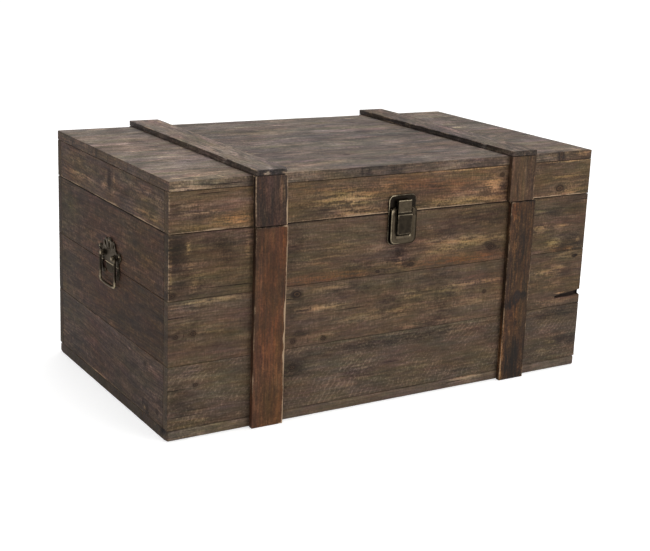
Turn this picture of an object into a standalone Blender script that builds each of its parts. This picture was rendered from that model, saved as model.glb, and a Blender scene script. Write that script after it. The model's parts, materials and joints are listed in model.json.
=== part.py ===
# Wooden storage trunk with a hinged lid, surface battens, a draw latch and two drop handles.
# Metres, +Z up. The origin is on the floor under the middle of the chest, and the front faces -Y.

import math

import bmesh
import bpy
from mathutils import Matrix, Vector

# Chest
LENGTH = 0.800              # along X, outside the end walls
DEPTH = 0.460               # along Y, outside the front and back walls
HEIGHT = 0.396              # floor to the top of the lid boards
SEAM_HEIGHT = 0.3183        # middle of the slit between body and lid
SEAM_GAP = 0.0008
WALL = 0.016                # thickness of wall planks and lid rails
FLOOR_BOARD = 0.017
LID_BOARD = 0.0155
WALL_PLANKS = 3             # planks one above the other in each wall
FLOOR_BOARDS = 5
LID_SEAM_SHIFTS = (-0.006, 0.0, 0.003, -0.009, 0.008)   # each join's distance from an even spacing
BOARD_EDGE = 0.0012         # worn edge of every board
FIT = 0.0003                # gap between pieces that touch

# Battens, called straps here, over the walls and the lid
STRAP_THICK = 0.009
STRAP_EDGE = 0.0015
STRAPS = {                  # along X: middle of the body's straps, middle of the lid's, width
    "left": (-0.2363, -0.2384, 0.0545),
    "right": (0.2466, 0.2414, 0.0522),
}

# Hinges on the back straps
LEAF_WIDTH = 0.032
LEAF_HEIGHT = 0.038         # from the pin axis to the leaf's free edge
LEAF_THICK = 0.0016
LEAF_CORNER = 0.005
KNUCKLE_RADIUS = 0.0032
MIDDLE_KNUCKLE = 0.0114     # length of the lid leaf's knuckle
HINGE_PIN_RADIUS = 0.0015
HINGE_PIN_HEAD = 0.0025
STOP_HEEL = 0.008           # pin axis to the end of the heel that stops the lid
STOP_HEEL_THICK = 0.0016
LEAF_HOLE_RADIUS = 0.002
LEAF_HOLE_ROWS = ((0.029, 0.0095), (0.016, 0.0))        # distance from the axis, distance from the middle

# Draw latch on the front: out is measured from the wall's face, heights from the seam
LATCH_X = 0.002
LATCH_PLATE_WIDTH = 0.052
LATCH_RISE = 0.0287         # seam to the top of the keeper's plate
LATCH_FALL = 0.0521         # seam to the bottom of the base plate
LATCH_PLATE_THICK = 0.002
LATCH_PLATE_CORNER = 0.0095
LATCH_PLATE_EDGE = 0.0007
LEVER_AXIS_RISE = 0.0062
LEVER_AXIS_OUT = 0.0058
LEVER_WIDTH = 0.0488
LEVER_BAR = 0.0104
LEVER_FOOT = 0.0135         # height of the ring's lower bar
LEVER_FALL = 0.0503
LEVER_BACK = 0.0062
LEVER_FRONT = 0.0092
LEVER_CORNER = 0.0095
LEVER_WINDOW_CORNER = 0.0025
LEVER_CHAMFER = 0.0055      # sloped outer corner of each eye
LEVER_EYE = 0.0031
LEVER_ARM_INNER = 0.0155    # inner side of the arm's eye, from the latch's middle
LUG_INNER = 0.0139          # the link pin's lugs on the ring
LUG_THICK = 0.0025
LUG_RADIUS = 0.0024
EAR_INNER = 0.008           # the base's ears that carry the lever pin
EAR_THICK = 0.003
EAR_RADIUS = 0.0027
LATCH_PIN_RADIUS = 0.00125
LINK_AXIS_FALL = 0.0098
LINK_AXIS_OUT = 0.0050
LINK_PLATE_WIDTH = 0.0270
LINK_FALL = 0.0343
LINK_CORNER = 0.0025
LINK_FACE = 0.0117          # outer face of the link's lower plate
LINK_THICK = 0.0015
TONGUE_WIDTH = 0.025
TONGUE_RISE = 0.0211
TONGUE_FACE = 0.0104
FLANGE_OUTER = 0.0132       # the link's side flanges down to its pin
FLANGE_THICK = 0.0015
KEEPER_HALF_WIDTH = 0.0100
KEEPER_OUT = 0.0064
KEEPER_RISE = 0.009
LATCH_EDGE = 0.0005

# Drop handles on the end walls: u runs along the wall, v up from the bail's axis
HANDLE_Y = -0.010
HANDLE_FALL = 0.0835        # seam to the bail's axis
HANDLE_PLATE_THICK = 0.002
BAIL_AXIS_OUT = 0.0054
POST_U = 0.0226
POST_RADIUS = 0.0050
POST_FOOT_RADIUS = 0.0062
POST_TOP = 0.0092
BAIL_END_RADIUS = 0.0016
BAIL_WIRE = 0.0021
BAIL_GRIP = 0.0025
BAIL_DROP = 0.0473          # axis to the grip's middle
BAIL_SAG = 0.001
BAIL_UPPER_BEND = 0.004
BAIL_LOWER_BEND = 0.005
HANDLE_OUTLINE = (          # half of the plate, from the crown's tip round to the pendant's tip
    (0.0000, 0.0290), (0.0065, 0.0278), (0.0100, 0.0245), (0.0150, 0.0260), (0.0215, 0.0225),
    (0.0250, 0.0165), (0.0262, 0.0120), (0.0320, 0.0105), (0.0400, 0.0112), (0.0445, 0.0070),
    (0.0435, 0.0000), (0.0385, -0.0050), (0.0375, -0.0125), (0.0395, -0.0200), (0.0385, -0.0280),
    (0.0330, -0.0330), (0.0240, -0.0330), (0.0185, -0.0295), (0.0190, -0.0255), (0.0240, -0.0262),
    (0.0290, -0.0240), (0.0300, -0.0185), (0.0275, -0.0128), (0.0160, -0.0128), (0.0138, -0.0160),
    (0.0132, -0.0240), (0.0080, -0.0268), (0.0000, -0.0285),
)
HANDLE_SLOTS = (            # middle u, middle v, half width, half length, lean in degrees
    (0.0000, 0.0160, 0.0017, 0.0048, 0.0),
    (0.0165, 0.0175, 0.0021, 0.0038, -35.0),
    (0.0355, 0.0035, 0.0016, 0.0042, -78.0),
)
ROUND_STEPS = 16

MATERIALS = {
    "wall_wood": ((0.105, 0.070, 0.046), 0.72, 0.0),
    "lid_wood": ((0.130, 0.098, 0.074), 0.74, 0.0),
    "strap_wood": ((0.098, 0.056, 0.036), 0.70, 0.0),
    "bronze": ((0.070, 0.058, 0.042), 0.42, 0.9),
}

BODY_TOP = SEAM_HEIGHT - SEAM_GAP / 2
LID_BOTTOM = SEAM_HEIGHT + SEAM_GAP / 2
LID_RAIL_TOP = HEIGHT - LID_BOARD - FIT
STRAP_OUT = DEPTH / 2 + FIT + STRAP_THICK    # outer face of the front and back straps
HINGE_AXIS_Y = STRAP_OUT + FIT + KNUCKLE_RADIUS
FRONT = -DEPTH / 2
LATCH_TOP = SEAM_HEIGHT + LATCH_RISE
LATCH_BOTTOM = SEAM_HEIGHT - LATCH_FALL
LEVER_AXIS_Z = SEAM_HEIGHT + LEVER_AXIS_RISE
LEVER_BOTTOM = SEAM_HEIGHT - LEVER_FALL
LINK_AXIS_Z = SEAM_HEIGHT - LINK_AXIS_FALL
LINK_BOTTOM = SEAM_HEIGHT - LINK_FALL
TONGUE_TOP = SEAM_HEIGHT + TONGUE_RISE
HANDLE_Z = SEAM_HEIGHT - HANDLE_FALL

parts = None
cutters = None


def start_scene():
    global parts, cutters
    for old in list(bpy.data.objects):
        bpy.data.objects.remove(old, do_unlink=True)
    parts = bpy.data.collections.new("wooden_trunk")
    cutters = bpy.data.collections.new("cutters")
    for group in (parts, cutters):
        bpy.context.scene.collection.children.link(group)


def material(name):
    found = bpy.data.materials.get(name)
    if found:
        return found
    colour, roughness, metallic = MATERIALS[name]
    made = bpy.data.materials.new(name)
    made.use_nodes = True
    shader = made.node_tree.nodes["Principled BSDF"]
    shader.inputs["Base Color"].default_value = (*colour, 1.0)
    shader.inputs["Roughness"].default_value = roughness
    shader.inputs["Metallic"].default_value = metallic
    return made


def add_object(name, data, finish=None, group=None):
    thing = bpy.data.objects.new(name, data)
    (group or parts).objects.link(thing)
    if finish:
        data.materials.append(material(finish))
    return thing


def as_tool(thing):
    """Keeps an object as a cutter or a body to join, out of the model itself."""
    if thing.name in parts.objects:
        parts.objects.unlink(thing)
        cutters.objects.link(thing)
    thing.hide_render = True
    thing.display_type = "WIRE"
    return thing


def boolean(target, tool, operation):
    as_tool(tool)
    step = target.modifiers.new(f"{operation.lower()} {tool.name}", "BOOLEAN")
    step.operation = operation
    step.solver = "EXACT"
    step.object = tool


def cut(target, tool):
    boolean(target, tool, "DIFFERENCE")


def join(target, tool):
    boolean(target, tool, "UNION")


def bevel(thing, width, segments=1):
    if width > 0:
        edge = thing.modifiers.new("edge", "BEVEL")
        edge.width = width
        edge.segments = segments
        edge.limit_method = "ANGLE"
        edge.angle_limit = math.radians(40)


def block(name, low, high, finish=None, edge=0.0):
    """A box between two corners, with its origin in its middle."""
    low, high = Vector(low), Vector(high)
    mesh = bpy.data.meshes.new(name)
    shape = bmesh.new()
    bmesh.ops.create_cube(shape, size=1.0)
    bmesh.ops.scale(shape, vec=high - low, verts=shape.verts)
    shape.to_mesh(mesh)
    shape.free()
    thing = add_object(name, mesh, finish)
    thing.location = (low + high) / 2
    bevel(thing, edge)
    return thing


def rod(name, centre, radius, length, axis, finish=None, steps=ROUND_STEPS):
    """A cylinder about a world axis, 'X', 'Y' or 'Z'."""
    mesh = bpy.data.meshes.new(name)
    shape = bmesh.new()
    bmesh.ops.create_cone(shape, cap_ends=True, segments=steps, radius1=radius, radius2=radius, depth=length)
    shape.to_mesh(mesh)
    shape.free()
    thing = add_object(name, mesh, finish)
    thing.location = centre
    if axis == "X":
        thing.rotation_euler = (0, math.pi / 2, 0)
    elif axis == "Y":
        thing.rotation_euler = (math.pi / 2, 0, 0)
    mesh.shade_smooth()
    mesh.set_sharp_from_angle(angle=math.radians(40))
    return thing


def rounded(corners, steps=5):
    """Points of a closed outline, with each corner (u, v, radius) turned into an arc."""
    points = []
    for i, (u, v, radius) in enumerate(corners):
        here = Vector((u, v))
        before = (Vector(corners[i - 1][:2]) - here).normalized()
        after = (Vector(corners[(i + 1) % len(corners)][:2]) - here).normalized()
        if radius <= 0:
            points.append(here)
            continue
        half = before.angle(after) / 2
        middle = here + (before + after).normalized() * radius / math.sin(half)
        first = here + before * radius / math.tan(half) - middle
        last = here + after * radius / math.tan(half) - middle
        turn = first.angle_signed(last)
        points += [middle + Matrix.Rotation(-turn * k / steps, 2) @ first for k in range(steps + 1)]
    return points


def frame_at(origin, u_axis, v_axis):
    """Turns local x, y and z to u, v and u cross v, at an origin."""
    u, v = Vector(u_axis), Vector(v_axis)
    return Matrix.Translation(origin) @ Matrix((u, v, u.cross(v))).transposed().to_4x4()


def prism(name, outlines, thickness, place, finish=None, smooth_outline=False):
    """A flat outline, with any holes, given a thickness about its own plane."""
    flat = bpy.data.curves.new(name, "CURVE")
    flat.dimensions = "2D"
    flat.fill_mode = "BOTH"
    flat.extrude = thickness / 2
    flat.resolution_u = 3
    for points in outlines:
        if smooth_outline:
            line = flat.splines.new("BEZIER")
            line.bezier_points.add(len(points) - 1)
            for knot, point in zip(line.bezier_points, points):
                knot.co = (point[0], point[1], 0)
                knot.handle_left_type = knot.handle_right_type = "AUTO"
        else:
            line = flat.splines.new("POLY")
            line.points.add(len(points) - 1)
            for knot, point in zip(line.points, points):
                knot.co = (point[0], point[1], 0, 1)
        line.use_cyclic_u = True
    return curve_to_mesh(name, flat, place, finish)


def curve_to_mesh(name, curve, place, finish=None):
    source = add_object(name + "_curve", curve)
    bpy.context.view_layer.update()
    mesh = bpy.data.meshes.new_from_object(source.evaluated_get(bpy.context.evaluated_depsgraph_get()))
    bpy.data.objects.remove(source, do_unlink=True)
    shape = bmesh.new()
    shape.from_mesh(mesh)
    bmesh.ops.remove_doubles(shape, verts=shape.verts, dist=1e-6)
    bmesh.ops.recalc_face_normals(shape, faces=shape.faces)
    shape.to_mesh(mesh)
    shape.free()
    mesh.name = name
    mesh.materials.clear()
    thing = add_object(name, mesh, finish)
    thing.matrix_world = place
    mesh.shade_smooth()
    mesh.set_sharp_from_angle(angle=math.radians(35))
    return thing


def turned(name, profile, place, finish=None, steps=ROUND_STEPS):
    """A solid of revolution about local z, from (radius, height) points that run top to bottom."""
    mesh = bpy.data.meshes.new(name)
    points = [(radius, 0, height) for radius, height in profile]
    mesh.from_pydata(points, [(i, i + 1) for i in range(len(points) - 1)], [])
    thing = add_object(name, mesh, finish)
    thing.matrix_world = place
    spin = thing.modifiers.new("turn", "SCREW")
    spin.axis = "Z"
    spin.steps = spin.render_steps = steps
    spin.use_merge_vertices = True
    spin.merge_threshold = 1e-5
    spin.use_smooth_shade = True
    return thing


# Body and lid boards

def stack(bottom, top, count):
    """Heights of boards that fill a span, with the fitting gap between them."""
    height = (top - bottom - FIT * (count - 1)) / count
    return [(bottom + i * (height + FIT), bottom + i * (height + FIT) + height) for i in range(count)]


def body_walls():
    inner_x, inner_y = LENGTH / 2 - WALL, DEPTH / 2 - WALL
    end_y = inner_y - FIT
    for i, (low, high) in enumerate(stack(FLOOR_BOARD + FIT, BODY_TOP, WALL_PLANKS), 1):
        spans = {
            "front": ((-LENGTH / 2, -DEPTH / 2), (LENGTH / 2, -inner_y)),
            "back": ((-LENGTH / 2, inner_y), (LENGTH / 2, DEPTH / 2)),
            "left": ((-LENGTH / 2, -end_y), (-inner_x, end_y)),
            "right": ((inner_x, -end_y), (LENGTH / 2, end_y)),
        }
        for wall, (near, far) in spans.items():
            block(f"{wall}_plank_{i}", (*near, low), (*far, high), "wall_wood", BOARD_EDGE)


def body_floor():
    for i, (low, high) in enumerate(stack(-DEPTH / 2, DEPTH / 2, FLOOR_BOARDS), 1):
        block(f"floor_board_{i}", (-LENGTH / 2, low, 0), (LENGTH / 2, high, FLOOR_BOARD),
              "wall_wood", BOARD_EDGE)


def lid_rails():
    inner_x, inner_y = LENGTH / 2 - WALL, DEPTH / 2 - WALL
    end_y = inner_y - FIT
    rails = {
        "lid_front_rail": ((-LENGTH / 2, -DEPTH / 2), (LENGTH / 2, -inner_y)),
        "lid_back_rail": ((-LENGTH / 2, inner_y), (LENGTH / 2, DEPTH / 2)),
        "lid_left_rail": ((-LENGTH / 2, -end_y), (-inner_x, end_y)),
        "lid_right_rail": ((inner_x, -end_y), (LENGTH / 2, end_y)),
    }
    for name, (low, high) in rails.items():
        block(name, (*low, LID_BOTTOM), (*high, LID_RAIL_TOP), "wall_wood", BOARD_EDGE)


def lid_boards():
    count = len(LID_SEAM_SHIFTS) + 1
    seams = [-DEPTH / 2 + DEPTH * (i + 1) / count + shift for i, shift in enumerate(LID_SEAM_SHIFTS)]
    edges = [-DEPTH / 2 - FIT / 2, *seams, DEPTH / 2 + FIT / 2]
    for i in range(count):
        low, high = edges[i] + FIT / 2, edges[i + 1] - FIT / 2
        block(f"lid_board_{i + 1}", (-LENGTH / 2, low, HEIGHT - LID_BOARD), (LENGTH / 2, high, HEIGHT),
              "lid_wood", BOARD_EDGE)


def straps():
    near, far = DEPTH / 2 + FIT, STRAP_OUT
    for side, (body_middle, lid_middle, width) in STRAPS.items():
        body_x = (body_middle - width / 2, body_middle + width / 2)
        lid_x = (lid_middle - width / 2, lid_middle + width / 2)
        for face, low_y, high_y in (("front", -far, -near), ("back", near, far)):
            block(f"body_strap_{face}_{side}", (body_x[0], low_y, 0), (body_x[1], high_y, BODY_TOP),
                  "strap_wood", STRAP_EDGE)
            block(f"lid_strap_{face}_{side}", (lid_x[0], low_y, LID_BOTTOM), (lid_x[1], high_y, HEIGHT),
                  "strap_wood", STRAP_EDGE)
        block(f"lid_strap_top_{side}", (lid_x[0], -far, HEIGHT + FIT),
              (lid_x[1], far, HEIGHT + FIT + STRAP_THICK), "strap_wood", STRAP_EDGE)


# Hinges

def hinge_leaf(name, middle, away, knuckles, gaps):
    """A leaf that runs up (away 1) or down (away -1) from the pin, with its knuckles and the others' gaps."""
    axis = Vector((middle, HINGE_AXIS_Y, SEAM_HEIGHT))
    half = LEAF_WIDTH / 2
    corners = [(-half, 0, 0), (half, 0, 0), (half, away * LEAF_HEIGHT, LEAF_CORNER),
               (-half, away * LEAF_HEIGHT, LEAF_CORNER)]
    plate_y = STRAP_OUT + FIT + LEAF_THICK / 2
    leaf = prism(name, [rounded(corners)], LEAF_THICK,
                 frame_at((middle, plate_y, SEAM_HEIGHT), (1, 0, 0), (0, 0, 1)), "bronze")
    for i, (low, high) in enumerate(gaps):
        reach = KNUCKLE_RADIUS + 2 * FIT
        ends = sorted((-away * reach, away * reach))
        cut(leaf, block(f"{name}_gap_{i}", (middle + low, plate_y - LEAF_THICK, SEAM_HEIGHT + ends[0]),
                        (middle + high, HINGE_AXIS_Y + reach, SEAM_HEIGHT + ends[1])))
    for i, (low, high) in enumerate(knuckles):
        place = axis + Vector(((low + high) / 2, 0, 0))
        join(leaf, rod(f"{name}_knuckle_{i}", place, KNUCKLE_RADIUS, high - low, "X"))
    for row, (distance, aside) in enumerate(LEAF_HOLE_ROWS):
        for x in sorted({-aside, aside}):
            centre = (middle + x, plate_y, SEAM_HEIGHT + away * distance)
            cut(leaf, rod(f"{name}_hole_{row}_{x:.3f}", centre, LEAF_HOLE_RADIUS, 4 * LEAF_THICK, "Y",
                          steps=12))
    return leaf


def hinge(side, middle):
    axis = Vector((middle, HINGE_AXIS_Y, SEAM_HEIGHT))
    half, inner = LEAF_WIDTH / 2, MIDDLE_KNUCKLE / 2
    outer = inner + FIT
    body_leaf = hinge_leaf(f"hinge_{side}_body_leaf", middle, -1,
                           [(-half, -outer), (outer, half)], [(-outer, outer)])
    lid_leaf = hinge_leaf(f"hinge_{side}_lid_leaf", middle, 1, [(-inner, inner)],
                          [(-half - FIT, -inner), (inner, half + FIT)])
    # The heel swings down with the lid and meets the body leaf, which stops the lid past upright.
    heel = block(f"hinge_{side}_heel", axis + Vector((-inner, HINGE_PIN_RADIUS, -STOP_HEEL_THICK / 2)),
                 axis + Vector((inner, STOP_HEEL, STOP_HEEL_THICK / 2)))
    join(lid_leaf, heel)
    for leaf in (body_leaf, lid_leaf):
        cut(leaf, rod(leaf.name + "_bore", axis, HINGE_PIN_RADIUS + FIT, LEAF_WIDTH * 1.5, "X"))
    pin = rod(f"hinge_{side}_pin", axis, HINGE_PIN_RADIUS, LEAF_WIDTH + 4 * FIT, "X", "bronze")
    for end in (-1, 1):
        centre = axis + Vector((end * (half + FIT + HINGE_PIN_RADIUS / 2), 0, 0))
        join(pin, rod(f"hinge_{side}_pin_head_{end}", centre, HINGE_PIN_HEAD, HINGE_PIN_RADIUS, "X"))


# Draw latch

def latch_point(x, out, z):
    return Vector((LATCH_X + x, FRONT - out, z))


def latch_block(name, x, out, z, finish=None, edge=0.0):
    """A box from ranges across, outwards and up."""
    return block(name, latch_point(x[0], out[1], z[0]), latch_point(x[1], out[0], z[1]), finish, edge)


def side_profile(name, points, low_x, high_x, finish=None):
    """An outline of (out, z) points, extruded across the latch between two distances from its middle."""
    place = frame_at(latch_point((low_x + high_x) / 2, 0, 0), (0, -1, 0), (0, 0, 1))
    return prism(name, [points], high_x - low_x, place, finish)


def arc(centre, radius, start, end, steps=8):
    return [(centre[0] + radius * math.cos(math.radians(start + (end - start) * k / steps)),
             centre[1] + radius * math.sin(math.radians(start + (end - start) * k / steps)))
            for k in range(steps + 1)]


def latch_plate(name, low, high, round_top):
    half, corner = LATCH_PLATE_WIDTH / 2, LATCH_PLATE_CORNER
    corners = [(-half, low, 0 if round_top else corner), (half, low, 0 if round_top else corner),
               (half, high, corner if round_top else 0), (-half, high, corner if round_top else 0)]
    middle = FIT + LATCH_PLATE_THICK / 2
    plate = prism(name, [rounded(corners, 6)], LATCH_PLATE_THICK,
                  frame_at(latch_point(0, middle, 0), (1, 0, 0), (0, 0, 1)), "bronze")
    bevel(plate, LATCH_PLATE_EDGE)
    return plate


def latch_keeper():
    face = FIT + LATCH_PLATE_THICK
    top = TONGUE_TOP - LINK_THICK - FIT
    keeper = latch_plate("latch_keeper", LID_BOTTOM, LATCH_TOP, True)
    lip = [(face / 2, top - KEEPER_RISE - (KEEPER_OUT - face)), (KEEPER_OUT, top - KEEPER_RISE / 2),
           (KEEPER_OUT, top), (face / 2, top)]
    join(keeper, side_profile("latch_keeper_lip", lip, -KEEPER_HALF_WIDTH, KEEPER_HALF_WIDTH))


def latch_base():
    face = FIT + LATCH_PLATE_THICK
    axis = (LEVER_AXIS_OUT, LEVER_AXIS_Z)
    base = latch_plate("latch_base", LATCH_BOTTOM, BODY_TOP, False)
    front = axis[0] + EAR_RADIUS
    root = BODY_TOP - 2 * EAR_RADIUS
    ear = [(face / 2, root), (face + FIT, root), (front, BODY_TOP + FIT), *arc(axis, EAR_RADIUS, 0, 180),
           (axis[0] - EAR_RADIUS, BODY_TOP - FIT), (face / 2, BODY_TOP - FIT)]
    for side in (-1, 1):
        low, high = sorted((side * EAR_INNER, side * (EAR_INNER + EAR_THICK)))
        join(base, side_profile(f"latch_base_ear_{side}", ear, low, high))
    cut(base, rod("latch_base_bore", latch_point(0, *axis), LATCH_PIN_RADIUS + FIT, LATCH_PLATE_WIDTH, "X"))


def latch_lever():
    """The outer ring: a U-shaped frame, two eyes on the lever pin and two lugs for the link's pin."""
    axis = (LEVER_AXIS_OUT, LEVER_AXIS_Z)
    half, window = LEVER_WIDTH / 2, LEVER_WIDTH / 2 - LEVER_BAR
    shoulder = BODY_TOP - LEVER_EYE
    sill = LEVER_BOTTOM + LEVER_FOOT
    corners = [(-half, shoulder, 0), (-half, LEVER_BOTTOM, LEVER_CORNER), (half, LEVER_BOTTOM, LEVER_CORNER),
               (half, shoulder, 0), (window, shoulder, 0), (window, sill, LEVER_WINDOW_CORNER),
               (-window, sill, LEVER_WINDOW_CORNER), (-window, shoulder, 0)]
    middle = (LEVER_BACK + LEVER_FRONT) / 2
    lever = prism("latch_lever", [rounded(corners, 6)], LEVER_FRONT - LEVER_BACK,
                  frame_at(latch_point(0, middle, 0), (1, 0, 0), (0, 0, 1)), "bronze")
    bevel(lever, LATCH_EDGE)
    inset = LATCH_EDGE / 2
    back, front = LEVER_BACK + inset, LEVER_FRONT - inset
    nose = [(back, shoulder - LEVER_EYE), (front, shoulder - LEVER_EYE), (front, axis[1]),
            *arc(axis, LEVER_EYE, 50, 270), (back, axis[1] - 1.6 * LEVER_EYE)]
    lug_centre = (LINK_AXIS_OUT, LINK_AXIS_Z)
    lug = [(LEVER_FRONT - LATCH_EDGE, LINK_AXIS_Z + LUG_RADIUS), *arc(lug_centre, LUG_RADIUS, 90, 270),
           (LEVER_FRONT - LATCH_EDGE, LINK_AXIS_Z - LUG_RADIUS)]
    for side in (-1, 1):
        low, high = sorted((side * LEVER_ARM_INNER, side * (half - inset)))
        join(lever, side_profile(f"latch_lever_eye_{side}", nose, low, high))
        low, high = sorted((side * LUG_INNER, side * (LUG_INNER + LUG_THICK)))
        join(lever, side_profile(f"latch_lever_lug_{side}", lug, low, high))
        top = axis[1] + LEVER_EYE + FIT
        corner = [(side * (half + FIT), top - LEVER_CHAMFER), (side * (half + FIT), top),
                  (side * (half + FIT - LEVER_CHAMFER), top)]
        cut(lever, prism(f"latch_lever_corner_{side}", [corner], 4 * LEVER_EYE,
                         frame_at(latch_point(0, axis[0], 0), (1, 0, 0), (0, 0, 1))))
    for place, name in ((axis, "eye"), (lug_centre, "lug")):
        cut(lever, rod(f"latch_lever_{name}_bore", latch_point(0, *place), LATCH_PIN_RADIUS + FIT,
                       2 * LEVER_WIDTH, "X"))


def latch_link():
    """The inner piece: a plate over the ring's window, a hooked tongue over the keeper and two flanges."""
    crease = BODY_TOP
    half, tongue = LINK_PLATE_WIDTH / 2, TONGUE_WIDTH / 2
    inner_face = TONGUE_FACE - LINK_THICK
    corners = [(-half, LINK_BOTTOM, LINK_CORNER), (half, LINK_BOTTOM, LINK_CORNER),
               (half, crease + FIT, 0), (-half, crease + FIT, 0)]
    link = prism("latch_link", [rounded(corners)], LINK_THICK,
                 frame_at(latch_point(0, LINK_FACE - LINK_THICK / 2, 0), (1, 0, 0), (0, 0, 1)), "bronze")
    bevel(link, LATCH_EDGE)
    join(link, latch_block("latch_link_tongue", (-tongue, tongue), (inner_face, TONGUE_FACE),
                           (crease - FIT, TONGUE_TOP)))
    hook_end = KEEPER_OUT - 2 * LINK_THICK
    join(link, latch_block("latch_link_hook", (-tongue, tongue), (hook_end, TONGUE_FACE),
                           (TONGUE_TOP - LINK_THICK, TONGUE_TOP)))
    pivot = (LINK_AXIS_OUT, LINK_AXIS_Z)
    back = LINK_FACE - LINK_THICK / 2
    flange = [(back, LINK_AXIS_Z + 2 * LUG_RADIUS), *arc(pivot, LUG_RADIUS, 100, 260),
              (back, LINK_AXIS_Z - 2 * LUG_RADIUS)]
    for side in (-1, 1):
        low, high = sorted((side * (FLANGE_OUTER - FLANGE_THICK), side * FLANGE_OUTER))
        join(link, side_profile(f"latch_link_flange_{side}", flange, low, high))
    cut(link, rod("latch_link_bore", latch_point(0, *pivot), LATCH_PIN_RADIUS + FIT, LINK_PLATE_WIDTH, "X"))


def latch():
    latch_keeper()
    latch_base()
    latch_lever()
    latch_link()
    rod("latch_lever_pin", latch_point(0, LEVER_AXIS_OUT, LEVER_AXIS_Z), LATCH_PIN_RADIUS,
        LEVER_WIDTH - LEVER_CHAMFER - 2 * FIT, "X", "bronze")
    rod("latch_link_pin", latch_point(0, LINK_AXIS_OUT, LINK_AXIS_Z), LATCH_PIN_RADIUS,
        2 * (LUG_INNER + LUG_THICK + FIT), "X", "bronze")


# Drop handles

def slot_outline(u, v, half_width, half_length, lean, steps=12):
    turn = Matrix.Rotation(math.radians(lean), 2)
    ring = [2 * math.pi * k / steps for k in range(steps)]
    return [Vector((u, v)) + turn @ Vector((half_width * math.cos(a), half_length * math.sin(a)))
            for a in ring]


def handle_plate(name, place):
    """The pierced back plate, with a turned post each side that carries the bail."""
    half = list(HANDLE_OUTLINE)
    outline = half + [(-u, v) for u, v in reversed(half[1:-1])]
    slots = []
    for u, v, width, length, lean in HANDLE_SLOTS:
        for side in sorted({1 if u else 0, -1 if u else 0}):
            slots.append(slot_outline((side or 1) * u, v, width, length, (side or 1) * lean))
    lift = FIT + HANDLE_PLATE_THICK / 2
    plate = prism(name, [outline] + slots, HANDLE_PLATE_THICK, place @ Matrix.Translation((0, 0, lift)),
                  "bronze", smooth_outline=True)
    face = FIT + HANDLE_PLATE_THICK
    foot = face / 2
    profile = [(0, POST_TOP), (POST_RADIUS * 0.6, POST_TOP - POST_RADIUS * 0.12),
               (POST_RADIUS, POST_TOP - POST_RADIUS * 0.5), (POST_RADIUS, face + FIT * 4),
               (POST_FOOT_RADIUS, face + FIT * 2), (POST_FOOT_RADIUS, foot), (0, foot)]
    for side in (-1, 1):
        join(plate, turned(f"{name}_post_{side}", profile, place @ Matrix.Translation((side * POST_U, 0, 0))))
    centre = place @ Vector((0, 0, BAIL_AXIS_OUT))
    cut(plate, rod(f"{name}_bore", centre, BAIL_END_RADIUS + FIT, DEPTH / 3, "Y"))


def bail_path():
    """Half of the bail, from its inner end through the post, down the arm and along the grip."""
    arm = POST_U + POST_RADIUS + 2 * FIT + BAIL_WIRE
    inner = POST_U - POST_RADIUS - BAIL_END_RADIUS / 2
    post = POST_U + POST_RADIUS + FIT
    top, low = BAIL_UPPER_BEND, BAIL_LOWER_BEND
    path = [(inner, 0, BAIL_END_RADIUS), (POST_U, 0, BAIL_END_RADIUS), (post, 0, BAIL_END_RADIUS)]
    for k in range(1, 5):
        turn = math.radians(90 * k / 4)
        path.append((post + (arm - post) * math.sin(turn), -top * (1 - math.cos(turn)), BAIL_WIRE))
    level = -BAIL_DROP + BAIL_SAG
    path.append((arm, (level + low - top) / 2, BAIL_WIRE))
    for k in range(6):
        turn = math.radians(90 * k / 5)
        path.append((arm - low * (1 - math.cos(turn)), level + low - low * math.sin(turn), BAIL_WIRE))
    for k in range(1, 5):
        share = k / 4
        bow = 1 - (1 - share) ** 2
        width = BAIL_WIRE + (BAIL_GRIP - BAIL_WIRE) * bow
        path.append(((arm - low) * (1 - share), level - BAIL_SAG * bow, width))
    return path


def handle_bail(name, place):
    half = bail_path()
    points = half + [(-u, v, radius) for u, v, radius in reversed(half[:-1])]
    wire = bpy.data.curves.new(name, "CURVE")
    wire.dimensions = "3D"
    wire.bevel_depth = 1.0
    wire.bevel_resolution = 3
    wire.use_fill_caps = True
    line = wire.splines.new("POLY")
    line.points.add(len(points) - 1)
    for knot, (u, v, radius) in zip(line.points, points):
        knot.co = (u, v, 0, 1)
        knot.radius = radius
    curve_to_mesh(name, wire, place @ Matrix.Translation((0, 0, BAIL_AXIS_OUT)), "bronze")


def handles():
    ends = {
        "left": frame_at((-LENGTH / 2, HANDLE_Y, HANDLE_Z), (0, -1, 0), (0, 0, 1)),
        "right": frame_at((LENGTH / 2, HANDLE_Y, HANDLE_Z), (0, 1, 0), (0, 0, 1)),
    }
    for side, place in ends.items():
        handle_plate(f"handle_{side}_plate", place)
        handle_bail(f"handle_{side}_bail", place)


def main():
    start_scene()
    body_floor()
    body_walls()
    lid_rails()
    lid_boards()
    straps()
    for side, (body_middle, lid_middle, _) in STRAPS.items():
        hinge(side, (body_middle + lid_middle) / 2)
    latch()
    handles()


main()
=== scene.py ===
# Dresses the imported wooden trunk: weathered boards, straps, draw latch, stop hinges and drop handles.
import json
import math

import bmesh
import bpy
import numpy as np
from mathutils import Matrix, Vector, kdtree


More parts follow.
